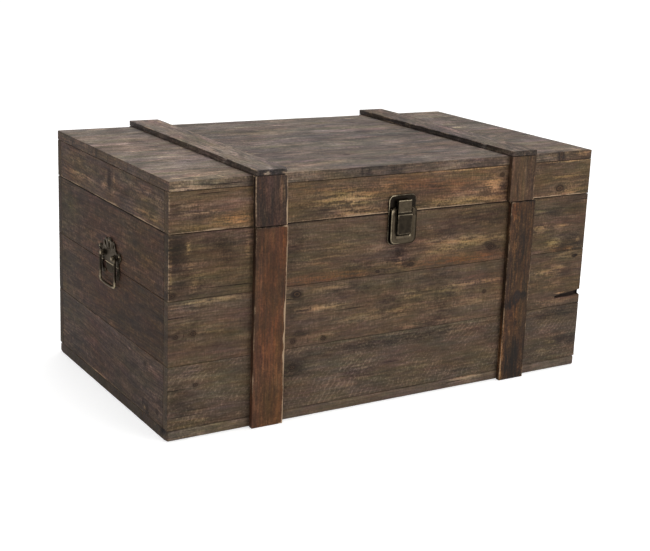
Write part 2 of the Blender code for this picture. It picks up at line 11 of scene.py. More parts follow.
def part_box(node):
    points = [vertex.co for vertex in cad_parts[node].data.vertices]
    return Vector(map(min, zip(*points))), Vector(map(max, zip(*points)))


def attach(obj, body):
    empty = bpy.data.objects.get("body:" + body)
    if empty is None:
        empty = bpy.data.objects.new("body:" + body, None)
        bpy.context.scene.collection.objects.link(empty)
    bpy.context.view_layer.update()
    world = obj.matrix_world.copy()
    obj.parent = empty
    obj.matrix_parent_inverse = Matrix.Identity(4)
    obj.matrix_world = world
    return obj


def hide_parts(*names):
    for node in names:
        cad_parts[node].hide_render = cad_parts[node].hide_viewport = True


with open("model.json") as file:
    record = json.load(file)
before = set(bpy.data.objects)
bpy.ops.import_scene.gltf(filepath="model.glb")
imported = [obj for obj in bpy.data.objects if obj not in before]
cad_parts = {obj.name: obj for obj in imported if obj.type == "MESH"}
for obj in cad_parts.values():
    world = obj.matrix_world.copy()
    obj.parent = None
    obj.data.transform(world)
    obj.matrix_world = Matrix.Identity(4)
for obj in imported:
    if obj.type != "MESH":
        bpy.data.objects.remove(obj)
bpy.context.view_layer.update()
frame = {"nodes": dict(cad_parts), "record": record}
nodes = frame["nodes"]
bodyOf = {node: body for body, names in frame["record"]["behaviour"]["bodies"].items() for node in names}
mm = 0.001


def paint(red, green, blue):
    # a colour as a paint chart gives it, 0 to 255, for a shader
    shares = (red / 255, green / 255, blue / 255)
    return tuple(((c + 0.055) / 1.055) ** 2.4 if c > 0.04 else c / 12.92 for c in shares)


def grade(value, low, high):
    # 0 at low, 1 at high, with a soft start and end
    share = np.clip((value - low) / (high - low), 0, 1)
    return share * share * (3 - 2 * share)


def hump(value, middle, width):
    # 1 at the middle, falling off to both sides
    return np.exp(-((value - middle) / width) ** 2)


def latticeNoise(points, size, seed):
    # smooth noise from -1 to 1 at points, with cells of a given size along each axis
    spot = np.asarray(points, float) / np.asarray(size, float) + seed * 17.31
    cell = np.floor(spot).astype(np.int64)
    part = spot - cell
    part = part * part * (3 - 2 * part)
    total = np.zeros(len(spot))
    for corner in np.ndindex(2, 2, 2):
        key = cell + corner
        mixed = (key[:, 0] * 73856093) ^ (key[:, 1] * 19349663) ^ (key[:, 2] * 83492791) ^ (seed * 9176)
        mixed = (mixed ^ (mixed >> 13)) * 1274126177
        value = ((mixed ^ (mixed >> 16)) & 0xFFFF) / 32767.5 - 1
        total += value * np.prod(np.where(corner, part, 1 - part), axis=1)
    return total


def intoScene(name, data):
    thing = bpy.data.objects.new(name, data)
    bpy.context.scene.collection.objects.link(thing)
    return thing


def settled(work):
    # the mesh that an object's modifiers make. The object itself goes
    bpy.context.view_layer.update()
    mesh = bpy.data.meshes.new_from_object(work.evaluated_get(bpy.context.evaluated_depsgraph_get()))
    bpy.data.objects.remove(work, do_unlink=True)
    return mesh


def readOff(items, field, width, kind=float):
    # one row of numbers for each vertex or edge
    values = np.zeros(len(items) * width, kind)
    items.foreach_get(field, values)
    return values.reshape(-1, width)


def perPoint(mesh, key, values):
    # an attribute with a vector or a colour for each point
    kind, field = ("FLOAT_VECTOR", "vector") if values.shape[1] == 3 else ("FLOAT_COLOR", "color")
    mesh.attributes.new(key, kind, "POINT").data.foreach_set(field, values.astype(np.float32).ravel())


class Bench:
    # short calls for the nodes of one tree
    def __init__(self, tree):
        self.tree = tree

    def plug(self, socket, value):
        if isinstance(value, bpy.types.NodeSocket):
            self.tree.links.new(value, socket)
        elif hasattr(value, "__len__") and len(value) == 3 and socket.type == "RGBA":
            socket.default_value = (*value, 1)
        else:
            socket.default_value = value

    def add(self, kind, plugs=(), **settings):
        # a shader node by its short name, or any node by its full one
        made = self.tree.nodes.new(kind if "Node" in kind else "ShaderNode" + kind)
        for name, value in settings.items():
            setattr(made, name, value)
        for name, value in dict(plugs).items():
            self.plug(made.inputs[name], value)
        return made

    def calc(self, operation, *values):
        made = self.add("Math", operation=operation)
        for i, value in enumerate(values):
            self.plug(made.inputs[i], value)
        return made.outputs[0]

    def chain(self, operation, first, *others):
        for value in others:
            first = self.calc(operation, first, value)
        return first

    def times(self, *values):
        return self.chain("MULTIPLY", *values)

    def plus(self, *values):
        return self.chain("ADD", *values)

    def swing(self, noise, amount):
        # a noise from 0 to 1, turned into a push either way
        return self.times(self.calc("SUBTRACT", noise, 0.5), amount)

    def vector(self, operation, *values):
        made = self.add("VectorMath", operation=operation)
        for i, value in enumerate(values):
            self.plug(made.inputs["Scale"] if operation == "SCALE" and i == 1 else made.inputs[i], value)
        return made.outputs["Value"] if operation == "LENGTH" else made.outputs[0]

    def drift(self, vector, amount, detail=3.0):
        # a colour near white that wanders with the place
        made = self.add("TexNoise", {"Vector": vector, "Scale": 1.0, "Detail": detail, "Roughness": 0.55})
        push = self.vector("SUBTRACT", made.outputs["Color"], (0.5, 0.5, 0.5))
        return self.vector("ADD", self.vector("MULTIPLY", push, amount), (1.0, 1.0, 1.0))

    def grade(self, value, low, high, start=0.0, end=1.0, soft=True):
        made = self.add("MapRange", {"Value": value, "From Min": low, "From Max": high, "To Min": start,
                                     "To Max": end}, interpolation_type="SMOOTHSTEP" if soft else "LINEAR")
        return made.outputs[0]

    def noise(self, vector, scale, detail=2.0, rough=0.5):
        made = self.add("TexNoise", {"Vector": vector, "Scale": scale, "Detail": detail, "Roughness": rough})
        return made.outputs[0]

    def blend(self, share, first, second):
        made = self.add("Mix", data_type="RGBA")
        for i, value in ((0, share), (6, first), (7, second)):
            self.plug(made.inputs[i], value)
        return made.outputs[2]

    def split(self, vector):
        return self.add("SeparateXYZ", {"Vector": vector}).outputs

    def join(self, *values):
        return self.add("CombineXYZ", dict(enumerate(values))).outputs[0]


def newMaterial(name):
    # a material, a bench for its nodes, and the inputs of its shader
    material = bpy.data.materials.new(name)
    material.use_nodes = True
    bench = Bench(material.node_tree)
    return material, bench, bench.tree.nodes["Principled BSDF"].inputs


woodLook = {
    "knot": paint(37, 27, 22),
    "crack": paint(24, 18, 15),
    "edge": paint(188, 160, 130),  # rubbed edges
    "paleTint": (1.05, 1.03, 0.86),  # where the stain has worn thin
    "redTint": (1.24, 0.88, 0.62),  # reddish heartwood
    "knotTint": (0.66, 0.55, 0.47),  # the rings inside a knot
    "darkTint": (1.00, 0.98, 1.07),  # purple-grey weathering
    "pale": 0.85,  # how much lighter a pale stain is
    "dark": 0.78,  # how much darker a dark one is
    "broad": 0.85,  # how strongly each size of grain shows
    "streak": 0.34,
    "hair": 0.8,
    "speck": 1.3,
    "cloud": 1.0,
    "blotch": 0.9,
    "weave": 1.3,
    "ring": 0.16,
    "arc": 0.45,
    "endGrain": 0.42,
    "hue": (0.38, 0.17, 0.56),  # how far the colour drifts along a board
    "fineHue": (0.36, 0.12, 0.44),
    "ringSpacing": 3.6 * mm,
    "ringRagged": 3.2,  # how far the rings are pushed about, in spacings
    "pithWander": (0.07, 0.05),
    "arcPitch": 7.0 * mm,
    "arcSlope": (0.72, -0.62),  # the way the saw ran, along and across the board
    "arcBend": -3.0,
    "arcWander": 0.016,
    "speckScale": 290.0,  # cells to the metre
    "cloudScale": 14.0,
    "blotchScale": 52.0,
    "rippleScale": 190,
    "ripple": 0.9,  # how uneven the outline of a knot is
    "knotStretch": 1.5,  # how much longer it is along the grain
    "knotBend": (8.0, 2.5),  # where the grain starts to bend round it, and where it bends fully
    "knotRings": 11.0,
    "halo": 0.55,  # the dark rim about it
}
# How much each mark stands out of the surface.
woodRelief = {"streak": 0.9, "hair": 0.4, "speck": 0.5, "late": 0.15, "hatch": 0.35, "arcs": 0.35,
              "crack": -0.9, "knot": -0.5}
# Noises drawn out along the grain: cells to the metre along and across, detail, roughness.
grains = {
    "uneven": (4.0, 60.0, 3, 0.5),
    "broad": (9.0, 70.0, 3, 0.55),
    "streak": (26.0, 300.0, 4, 0.6),
    "hair": (60.0, 1300.0, 2, 0.55),
    "weave": (560.0, 62.0, 2, 0.5),
    "crack": (8.0, 250.0, 1, 0.55),
}


def woodMaterial(name, bumpHeight, roughness, specular):
    # boards carry their own grain place, knots, stains, marks and tone as attributes
    material, b, shader = newMaterial(name)
    look = woodLook
    grainPos, knotPos, stain, marks, tone = (b.add("Attribute", attribute_name=key).outputs for key in (
        "grainPos", "knotPos", "stain", "marks", "tone"))
    gx, gy, gz = b.split(grainPos["Vector"])
    knotAlong, knotAcross, knotSize = b.split(knotPos["Vector"])
    pale, red, dark = b.split(stain["Color"])
    wear, hatch, arcs = b.split(marks["Color"])

    # the grain runs round each knot as water runs round a stone
    ripple = b.times(b.swing(b.noise(b.join(gx, gy, gz), look["rippleScale"], 2), look["ripple"]), knotSize)
    near = b.vector("LENGTH", b.join(b.calc("DIVIDE", knotAlong, look["knotStretch"]), knotAcross, 0.0))
    near = b.calc("DIVIDE", b.plus(near, ripple), knotSize)
    squeeze = b.calc("DIVIDE", 1.0, b.calc("MAXIMUM", b.times(near, near), 1.0))
    squeeze = b.times(squeeze, b.grade(near, *look["knotBend"]))
    gy = b.calc("SUBTRACT", gy, b.times(knotAcross, squeeze))

    def drawnOut(along, across):
        return b.join(b.times(gx, along), b.times(gy, across), b.times(gz, across))

    def fibre(key):
        along, across, detail, rough = grains[key]
        return b.noise(drawnOut(along, across), 1.0, detail, rough)

    # growth rings about a pith that wanders along the board
    aside, down = look["pithWander"]
    drift = b.noise(b.join(b.times(gx, 1.7), 0.3, 0.0), 1.0, 2)
    lift = b.noise(b.join(b.times(gx, 1.3), 9.1, 4.0), 1.0, 2)
    ringY = b.calc("SUBTRACT", gy, b.swing(drift, aside))
    ringZ = b.calc("SUBTRACT", gz, b.swing(lift, down))
    ring = b.calc("DIVIDE", b.vector("LENGTH", b.join(0.0, ringY, ringZ)), look["ringSpacing"])
    ring = b.calc("FRACT", b.plus(ring, b.times(fibre("uneven"), look["ringRagged"])))
    late = b.times(b.grade(ring, 0.30, 0.86), b.grade(ring, 1.0, 0.90))

    broad = fibre("broad")
    streak = fibre("streak")
    crisp = b.grade(streak, 0.34, 0.66)
    hair = fibre("hair")
    speck = b.noise(b.join(gx, gy, gz), look["speckScale"], 3, 0.65)
    cloud = b.noise(b.join(gx, b.times(gy, 2.0), gz), look["cloudScale"], 4, 0.62)
    blotch = b.noise(b.join(gx, b.times(gy, 2.4), gz), look["blotchScale"], 3, 0.6)
    weave = fibre("weave")
    hatch = b.times(hatch, b.grade(b.plus(blotch, b.swing(broad, 0.6)), 0.46, 0.62, 0.1, 1.0))
    value = b.plus(b.swing(broad, look["broad"]), b.swing(crisp, look["streak"]), b.swing(hair, look["hair"]),
                   b.swing(speck, look["speck"]), b.swing(blotch, look["blotch"]),
                   b.times(b.swing(weave, look["weave"]), hatch), b.times(late, -look["ring"]))
    value = b.plus(b.times(value, tone["Alpha"]), b.times(b.swing(cloud, look["cloud"]), stain["Alpha"]))

    # wide arcs from a circular blade
    bend = b.noise(b.join(b.times(gx, 9.0), b.times(gy, 30.0), gz), 1.0, 3)
    along, across = look["arcSlope"]
    sweep = b.plus(b.times(gx, along), b.times(gy, across), b.times(gy, gy, look["arcBend"]),
                   b.times(bend, look["arcWander"]))
    sweep = b.calc("SINE", b.times(sweep, 2 * math.pi / look["arcPitch"]))
    worn = b.grade(b.plus(speck, b.swing(cloud, 1.0)), 0.42, 0.62)
    sweep = b.times(b.grade(sweep, 0.0, 1.0), arcs, worn)
    value = b.plus(value, b.times(sweep, look["arc"]))

    # stains, each broken up by the grain
    ragged = b.plus(b.swing(crisp, 1.0), b.swing(speck, 2.2), b.swing(cloud, 2.0), b.swing(blotch, 2.0))
    pale = b.times(pale, b.grade(b.plus(ragged, b.times(pale, 0.9)), 0.0, 0.75, 0.0, 1.25, False))
    left = b.calc("SUBTRACT", b.times(dark, 0.9), ragged)
    dark = b.times(dark, b.grade(left, -0.55, 0.95, 0.0, 1.2, False))
    red = b.times(red, b.grade(ragged, -0.7, 0.6))
    value = b.plus(value, b.times(pale, look["pale"]), b.times(dark, -look["dark"]),
                   b.times(marks["Alpha"], -look["endGrain"]))
    colour = b.vector("SCALE", tone["Color"], b.calc("EXPONENT", value))
    hue = b.drift(drawnOut(13.0, 42.0), look["hue"])
    fineHue = b.drift(drawnOut(30.0, 260.0), look["fineHue"], 2.0)
    colour = b.vector("MULTIPLY", b.vector("MULTIPLY", colour, hue), fineHue)
    for share, tint in ((pale, look["paleTint"]), (dark, look["darkTint"]), (red, look["redTint"])):
        colour = b.blend(b.calc("MINIMUM", share, 1.0), colour, b.vector("MULTIPLY", colour, tint))

    # knots: a dark rim and core, with rings between
    inside = b.grade(near, 1.10, 0.90)
    heart = b.calc("SINE", b.plus(b.times(near, look["knotRings"]), 2.0))
    rings = b.vector("MULTIPLY", tone["Color"], look["knotTint"])
    ringed = b.blend(b.grade(heart, -0.3, 0.9), look["knot"], rings)
    colour = b.blend(b.times(inside, 0.85), colour, ringed)
    halo = b.times(b.grade(near, 2.0, 1.0), b.grade(near, 0.7, 1.0))
    colour = b.blend(b.times(halo, look["halo"]), colour, look["knot"])

    # drying cracks, and rubbed edges
    crack = b.grade(fibre("crack"), 0.28, 0.23)
    colour = b.blend(b.times(crack, 0.8), colour, look["crack"])
    rub = b.grade(b.plus(wear, b.swing(ragged, 0.30), 0.15), 0.30, 0.85)
    rub = b.times(rub, b.grade(wear, 0.03, 0.25))
    b.plug(shader["Base Color"], b.blend(b.times(rub, 0.85), colour, look["edge"]))

    b.plug(shader["Roughness"], b.plus(roughness, b.swing(streak, 0.3)))
    b.plug(shader["Specular IOR Level"], specular)
    marked = {"streak": streak, "hair": hair, "speck": speck, "late": late, "hatch": b.times(weave, hatch),
              "arcs": sweep, "crack": crack, "knot": b.times(inside, b.grade(heart, 0.2, 1.0))}
    height = b.plus(*(b.times(mark, woodRelief[key]) for key, mark in marked.items()))
    bump = b.add("Bump", {"Strength": 1.0, "Distance": bumpHeight, "Height": height})
    b.plug(shader["Normal"], bump.outputs[0])
    return material


bronzeLook = {
    "black": paint(28, 24, 19),  # the finish in the hollows, and painted shade on sides and in grooves
    "bronze": paint(74, 65, 52),  # the finish on plain faces
    "brass": paint(170, 156, 130),  # rubbed edges, and painted highlights
    "metallic": 0.85,
    "specular": 0.25,
    "edgeTint": (0.80, 0.73, 0.65),  # what a face seen at a slant reflects
    "roughness": 0.36,
    "cloudScale": 150.0,  # cells to the metre
    "fleckScale": 950.0,
    "bump": 0.25 * mm,
}


def bronzeMaterial(name):
    # antique bronze. The attribute says how rubbed, how sooty and how bare each point is, from 0 to 1. The
    # rubbed share takes in painted highlights, and the sooty share takes in painted shade
    material, b, shader = newMaterial(name)
    look = bronzeLook
    spot = b.add("TexCoord").outputs["Object"]
    wear, sootAndShade, bare = b.split(b.add("Attribute", attribute_name="rub").outputs["Vector"])
    cloud = b.noise(spot, look["cloudScale"], 4, 0.6)
    fleck = b.noise(spot, look["fleckScale"], 3, 0.6)
    bare = b.plus(bare, b.swing(cloud, 1.2), b.swing(fleck, 1.1))
    # rubbed edges with painted highlights, then soot with painted shade
    rubbedAndHighlit = b.grade(b.plus(wear, b.swing(fleck, 0.7), b.swing(cloud, 0.5)), 0.25, 0.85)
    sootyAndShaded = b.grade(b.plus(sootAndShade, b.swing(fleck, 0.4)), 0.15, 0.9)
    colour = b.blend(b.grade(bare, 0.0, 1.0), look["black"], look["bronze"])
    colour = b.blend(sootyAndShaded, b.blend(rubbedAndHighlit, colour, look["brass"]), look["black"])
    b.plug(shader["Base Color"], colour)
    b.plug(shader["Metallic"], look["metallic"])
    b.plug(shader["Specular IOR Level"], look["specular"])
    b.plug(shader["Specular Tint"], look["edgeTint"])
    b.plug(shader["Roughness"], b.plus(look["roughness"], b.swing(fleck, 0.3)))
    height = b.plus(b.times(cloud, 0.6), b.times(fleck, 0.3))
    bump = b.add("Bump", {"Strength": 0.5, "Distance": look["bump"], "Height": height})
    b.plug(shader["Normal"], bump.outputs[0])
    return material


wallWood = woodMaterial("wallWood", bumpHeight=0.55 * mm, roughness=0.74, specular=0.18)
lidWood = woodMaterial("lidWood", bumpHeight=0.55 * mm, roughness=0.70, specular=0.25)
strapWood = woodMaterial("strapWood", bumpHeight=0.40 * mm, roughness=0.66, specular=0.22)
bronze = bronzeMaterial("antiqueBronze")
print("materials: three woods and a bronze")


edgeSteps = (0, 0.3, 0.7, 1.2, 1.9, 2.9, 4.2)  # in from each edge of a board, in mm


def lines(low, high, step, extra):
    # grid places across a board: close together at the edges, even between them, and at the extra places
    ends = [n * mm for n in edgeSteps if n * mm < (high - low) / 2]
    count = max(1, round((high - low - 2 * ends[-1]) / step))
    middle = np.linspace(low + ends[-1], high - ends[-1], count + 1)
    places = [low + e for e in ends] + [high - e for e in ends] + list(middle)
    places += [e for e in extra if low + ends[-1] < e < high - ends[-1]]
    places = np.unique(np.round(np.array(places), 7))
    keep = np.concatenate([[True], np.diff(places) > 0.12 * mm])
    keep[-1] = True
    return places[keep]


def boxSkin(spots):
    # the outer points of a lattice, and its quads facing outwards
    shape = tuple(len(s) for s in spots)
    skin = np.ones(shape, bool)
    skin[1:-1, 1:-1, 1:-1] = False
    number = np.full(shape, -1)
    number[skin] = np.arange(skin.sum())
    points = np.stack([g[skin] for g in np.meshgrid(*spots, indexing="ij")], 1)
    quads = []
    for axis in range(3):
        for end in (0, shape[axis] - 1):
            sheet = np.take(number, end, axis=axis)
            quad = np.stack([sheet[:-1, :-1], sheet[1:, :-1], sheet[1:, 1:], sheet[:-1, 1:]], -1)
            quad = quad.reshape(-1, 4)
            quads.append(quad if (end > 0) == (axis != 1) else quad[:, ::-1])
    return points, np.concatenate(quads)


def meshFrom(name, points, faces, material, attributes):
    mesh = bpy.data.meshes.new(name)
    mesh.vertices.add(len(points))
    mesh.vertices.foreach_set("co", np.asarray(points, np.float32).ravel())
    mesh.loops.add(faces.size)
    mesh.loops.foreach_set("vertex_index", faces.ravel().astype(np.int32))
    mesh.polygons.add(len(faces))
    mesh.polygons.foreach_set("loop_start", np.arange(0, faces.size, faces.shape[1], dtype=np.int32))
    mesh.update(calc_edges=True)
    mesh.shade_smooth()
    for key, values in attributes.items():
        perPoint(mesh, key, values)
    mesh.materials.append(material)
    return intoScene(name, mesh)


# What can be changed on a board. Places and sizes are in mm, in the trunk's own frame.
stainKinds = ("pale", "red", "dark")
plain = {
    "tone": (92, 75, 60),  # its colour, as a paint chart gives it
    "contrast": 1.0,  # how strongly the grain shows
    "cloud": 1.0,  # how strongly the broad light and dark shows
    "hatch": 0.5,  # saw marks across the grain
    "arcs": 0.0,  # marks of a circular blade
    "sides": 0.0,  # how much darker the sides are
    "ends": 0.0,  # how much darker the ends are
    "bandedEnds": False,  # the grain of the ends runs across the board
    "round": 0.6,  # radius of the edges
    "lean": 0.0,  # how far the ends are shifted, each to its own side
    "rub": {},  # how bare the edges of a face are, or the edge that two named faces share
    "pale": [],  # stains, a few dark ones also painted shade: along, across, half length, half width, strength
    "red": [],
    "dark": [],
    "fades": [],  # lighter and darker areas: the same, with a gain for all colours or for each
    "spots": [],  # small stains on any face: kind, place, half sizes, strength
    "knots": [],  # along, across, radius
    "strayKnots": 2,  # how many knots fall anywhere
    "strayPale": 0.5,  # how strong the stains that fall anywhere are
    "strayDark": 0.55,
    "cracks": [],  # start, stop, across, rise, half width, depth
    "worn": [],  # an end where all edges are rounder: axis, side, extra radius
    "chips": [],  # place, reach, extra radius
}
# What all boards share. Cells and lengths are in mm.
boardLook = {
    "gridAcross": 1.9,  # how much wider the grid is across than along
    "leastRadius": 0.25, "mostRadius": 0.42,  # in mm, and as a share of the thickness
    "wornFrom": 8, "wornTo": 2,  # where a worn end starts, and where it is full
    "chipDent": 0.45,
    "stainDeep": 9,  # how far stains reach in from the outer face
    "pithAlong": 9, "pithAside": 0.035, "pithDeep": (0.018, 0.055), "grainWander": 0.006,  # in metres
    "grainCell": 260,
    "knotRadius": (1.6, 3.4),  # of a stray knot
    "crackStain": 1.9,
    "lumpCell": 14, "lumpShare": 0.45, "slowCell": 60, "slowShare": 0.35,  # how the radius wavers
    "hollowCell": (90, 45, 45), "hollowDeep": 0.16,  # planed hollows
    "pitCell": (11, 8, 8), "pitDeep": 0.06,
    "strayPale": (120, 15, 15), "strayDark": (90, 22, 22),
    "bandWide": 3.7, "bandCell": 35, "bandRub": 0.22,  # rubbed edges
    "toneCell": 150, "toneShare": 0.12,
    "warmCell": (120, 60, 60), "warmShift": (0.06, 0.0, -0.07),
    "greenCell": (90, 16, 16), "greenShift": (-0.03, 0.03, -0.06),
}


def dressBoard(node, material, slot, seed, step=3.2 * mm, outer=None, **changes):
    look, rules = {**plain, **changes}, boardLook
    low, high = (np.array(corner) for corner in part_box(node))
    size = high - low
    middle = (low + high) / 2
    along, across, deep = (int(i) for i in np.argsort(-size))
    if outer is None:
        outer = 1 if (low + high)[deep] > 0 else -1
    extra = [[], [], []]
    for start, stop, place, rise, width, depth in look["cracks"]:
        extra[across] += [(place + k) * mm for k in np.arange(-1.4 * width, 1.4 * width + rise, 0.8)]
        extra[along] += [(start + (stop - start) * k / 40) * mm for k in range(41)]
    steps = [step if axis == along else step * rules["gridAcross"] for axis in range(3)]
    points, quads = boxSkin([lines(*places) for places in zip(low, high, steps, extra)])

    def wander(cell, turn, at=points):
        # noise with cells in mm, and another pattern for each turn
        return latticeNoise(at, np.array(cell) * mm, seed + turn)

    def patch(a, c, halfA, halfC):
        # how far each point is from the middle of a patch, squared, with 1 at its rim
        return ((points[:, along] / mm - a) / halfA) ** 2 + ((points[:, across] / mm - c) / halfC) ** 2

    # distances to the faces, and to the nearest edge
    toLow, toHigh = points - low, high - points
    face = (toHigh if outer > 0 else toLow)[:, deep]
    edge = np.sort(np.minimum(toLow, toHigh), axis=1)[:, 1]
    lump = wander(rules["lumpCell"], 0)
    slow = wander(rules["slowCell"], 1)
    radius = look["round"] * mm * (1.15 + rules["lumpShare"] * lump + rules["slowShare"] * slow)
    for axis, sign, reach in look["worn"]:
        gap = (toHigh if sign > 0 else toLow)[:, axis]
        radius = radius + reach * mm * grade(gap, rules["wornFrom"] * mm, rules["wornTo"] * mm)
    chipped = np.zeros(len(points))
    for where, reach, bite in look["chips"]:
        gap = np.linalg.norm(points - np.array(where) * mm, axis=1) + lump * reach * 0.25 * mm
        bitten = grade(gap, reach * mm, 0.35 * reach * mm)
        radius = radius + bite * mm * bitten
        chipped = np.maximum(chipped, bite * bitten)
    radius = np.clip(radius, rules["leastRadius"] * mm, size.min() * rules["mostRadius"])[:, None]
    core = np.clip(points, low + radius, high - radius)
    lean = points - core
    lean = lean / np.maximum(np.linalg.norm(lean, axis=1, keepdims=True), 1e-9)
    shaped = core + lean * radius

    # hollows planed or worn into the faces, always inwards
    dent = rules["hollowDeep"] * mm * (1 + wander(rules["hollowCell"], 2))
    dent += rules["pitDeep"] * mm * (1 + wander(rules["pitCell"], 3))
    dent += rules["chipDent"] * mm * chipped
    hollow = np.zeros(len(points))
    for start, stop, place, rise, width, depth in look["cracks"]:
        a = points[:, along] / mm
        far = (a - start) / (stop - start)
        onLine = np.zeros_like(points)
        onLine[:, along] = points[:, along]
        gap = np.abs(points[:, across] / mm - place - rise * far - wander(9, 5, onLine))
        wide = width * (0.45 + 0.55 * np.clip(far, 0, 1))
        inside = grade(gap, wide, wide * 0.55) * grade(far, 0.0, 0.12) * (a < stop + 0.1)
        inside *= grade(face, 9 * mm, 4 * mm)
        hollow = np.maximum(hollow, inside)
        dent += depth * mm * inside
    shaped = shaped - lean * dent[:, None]
    shaped[:, across] += look["lean"] * mm * (points[:, along] - middle[along]) / (size[along] / 2)

    # each board's own place in a log
    chance = np.random.default_rng(seed)
    pith = np.array([chance.uniform(-reach, reach) for reach in (rules["pithAlong"], rules["pithAside"])]
                    + [-chance.uniform(*rules["pithDeep"])])
    grain = np.stack([points[:, along], points[:, across], (points[:, deep] - middle[deep]) * outer], 1)
    grain = grain - [0, middle[across], 0] - pith
    grain[:, 1] += wander(rules["grainCell"], 6) * rules["grainWander"]
    atEnd = np.abs(lean[:, along]) > 0.75
    if look["bandedEnds"]:
        grain[atEnd] = points[atEnd][:, [across, deep, along]] - pith

    # the nearest knot, as the way to it and its radius
    knots = list(look["knots"])
    for _ in range(look["strayKnots"]):
        place = [chance.uniform(low[axis], high[axis]) / mm for axis in (along, across)]
        knots.append((*place, chance.uniform(*rules["knotRadius"])))
    knotPos = np.tile([9.0, 9.0, 2 * mm], (len(points), 1))
    best = np.full(len(points), 9e9)
    for a, c, r in knots:
        way = points[:, [along, across]] - [a * mm, c * mm]
        far = np.hypot(*way.T) - 2 * r * mm
        closer = far < best
        knotPos[closer, :2] = way[closer]
        knotPos[closer, 2] = r * mm
        best = np.minimum(best, far)

    # pale, red and dark stains, and how cloudy the board is
    outside = np.exp(-(face / (rules["stainDeep"] * mm)) ** 2)
    stain = np.zeros((len(points), 4))
    stain[:, 3] = look["cloud"]
    for channel, kind in enumerate(stainKinds):
        for *place, strength in look[kind]:
            mark = strength * np.exp(-patch(*place) ** 1.3) * outside
            stain[:, channel] = np.maximum(stain[:, channel], mark)
    for kind, place, halves, strength in look["spots"]:
        channel = stainKinds.index(kind)
        gap = (((points / mm - place) / halves) ** 2).sum(axis=1)
        stain[:, channel] = np.maximum(stain[:, channel], strength * np.exp(-gap ** 1.3))
    for channel, kind, turn in ((0, "Pale", 7), (2, "Dark", 8)):
        stray = look["stray" + kind] * grade(wander(rules["stray" + kind], turn, grain), 0.25, 0.9)
        stain[:, channel] = np.maximum(stain[:, channel], stray)
    stain[:, 2] = np.maximum(stain[:, 2], rules["crackStain"] * hollow)
    stain[:, 0] *= 1 - hollow

    # rubbed edges, saw marks, arcs and end grain
    marks = np.zeros((len(points), 4))
    band = rules["bandWide"] * mm * (1 + 0.35 * lump)
    ridge = np.clip(1 - edge / band, 0, 1)
    patchy = 0.5 + 0.5 * wander(rules["bandCell"], 9)
    rub = rules["bandRub"] * ridge * grade(patchy, 0.45, 0.85)
    for side, amount in look["rub"].items():
        faces = [side[k:k + 2] for k in range(0, len(side), 2)]
        gap = [(toHigh if sign == "+" else toLow)[:, "xyz".index(axis)] for sign, axis in faces]
        near = np.max(gap, axis=0) < band
        rub = np.maximum(rub, amount * ridge * near * (0.4 + 0.6 * grade(patchy, 0.25, 0.65)))
    marks[:, 0] = rub
    marks[:, 1] = look["hatch"] * (0.5 + 0.5 * outside)
    marks[:, 2] = look["arcs"] * outside

    def facing(axis):
        # 1 on the faces at both ends of an axis, 0 elsewhere
        return np.clip(np.abs(lean[:, axis]) * 1.6 - 0.5, 0, 1)

    if not look["bandedEnds"]:
        marks[:, 3] = facing(along)

    # the board's own colour, and its contrast
    tone = np.full((len(points), 4), look["contrast"], float)
    gain = np.tile(1 + rules["toneShare"] * wander(rules["toneCell"], 10)[:, None], (1, 3))
    for axis, amount in ((across, look["sides"]), (along, look["ends"])):
        gain *= 1 - np.array(amount) * facing(axis)[:, None]
    for *place, amount in look["fades"]:
        gain *= 1 + np.array(amount) * np.exp(-patch(*place))[:, None]
    tone[:, :3] = np.array(paint(*look["tone"])) * gain
    for key, turn, at in (("warm", 11, points), ("green", 12, grain)):
        shift = wander(rules[key + "Cell"], turn, at)[:, None] * np.array(rules[key + "Shift"])
        tone[:, :3] *= 1 + shift
    thing = meshFrom(node + "_wood", shaped, quads, material,
                     {"grainPos": grain, "knotPos": knotPos, "stain": stain, "marks": marks, "tone": tone})
    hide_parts(node)
    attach(thing, bodyOf[node])


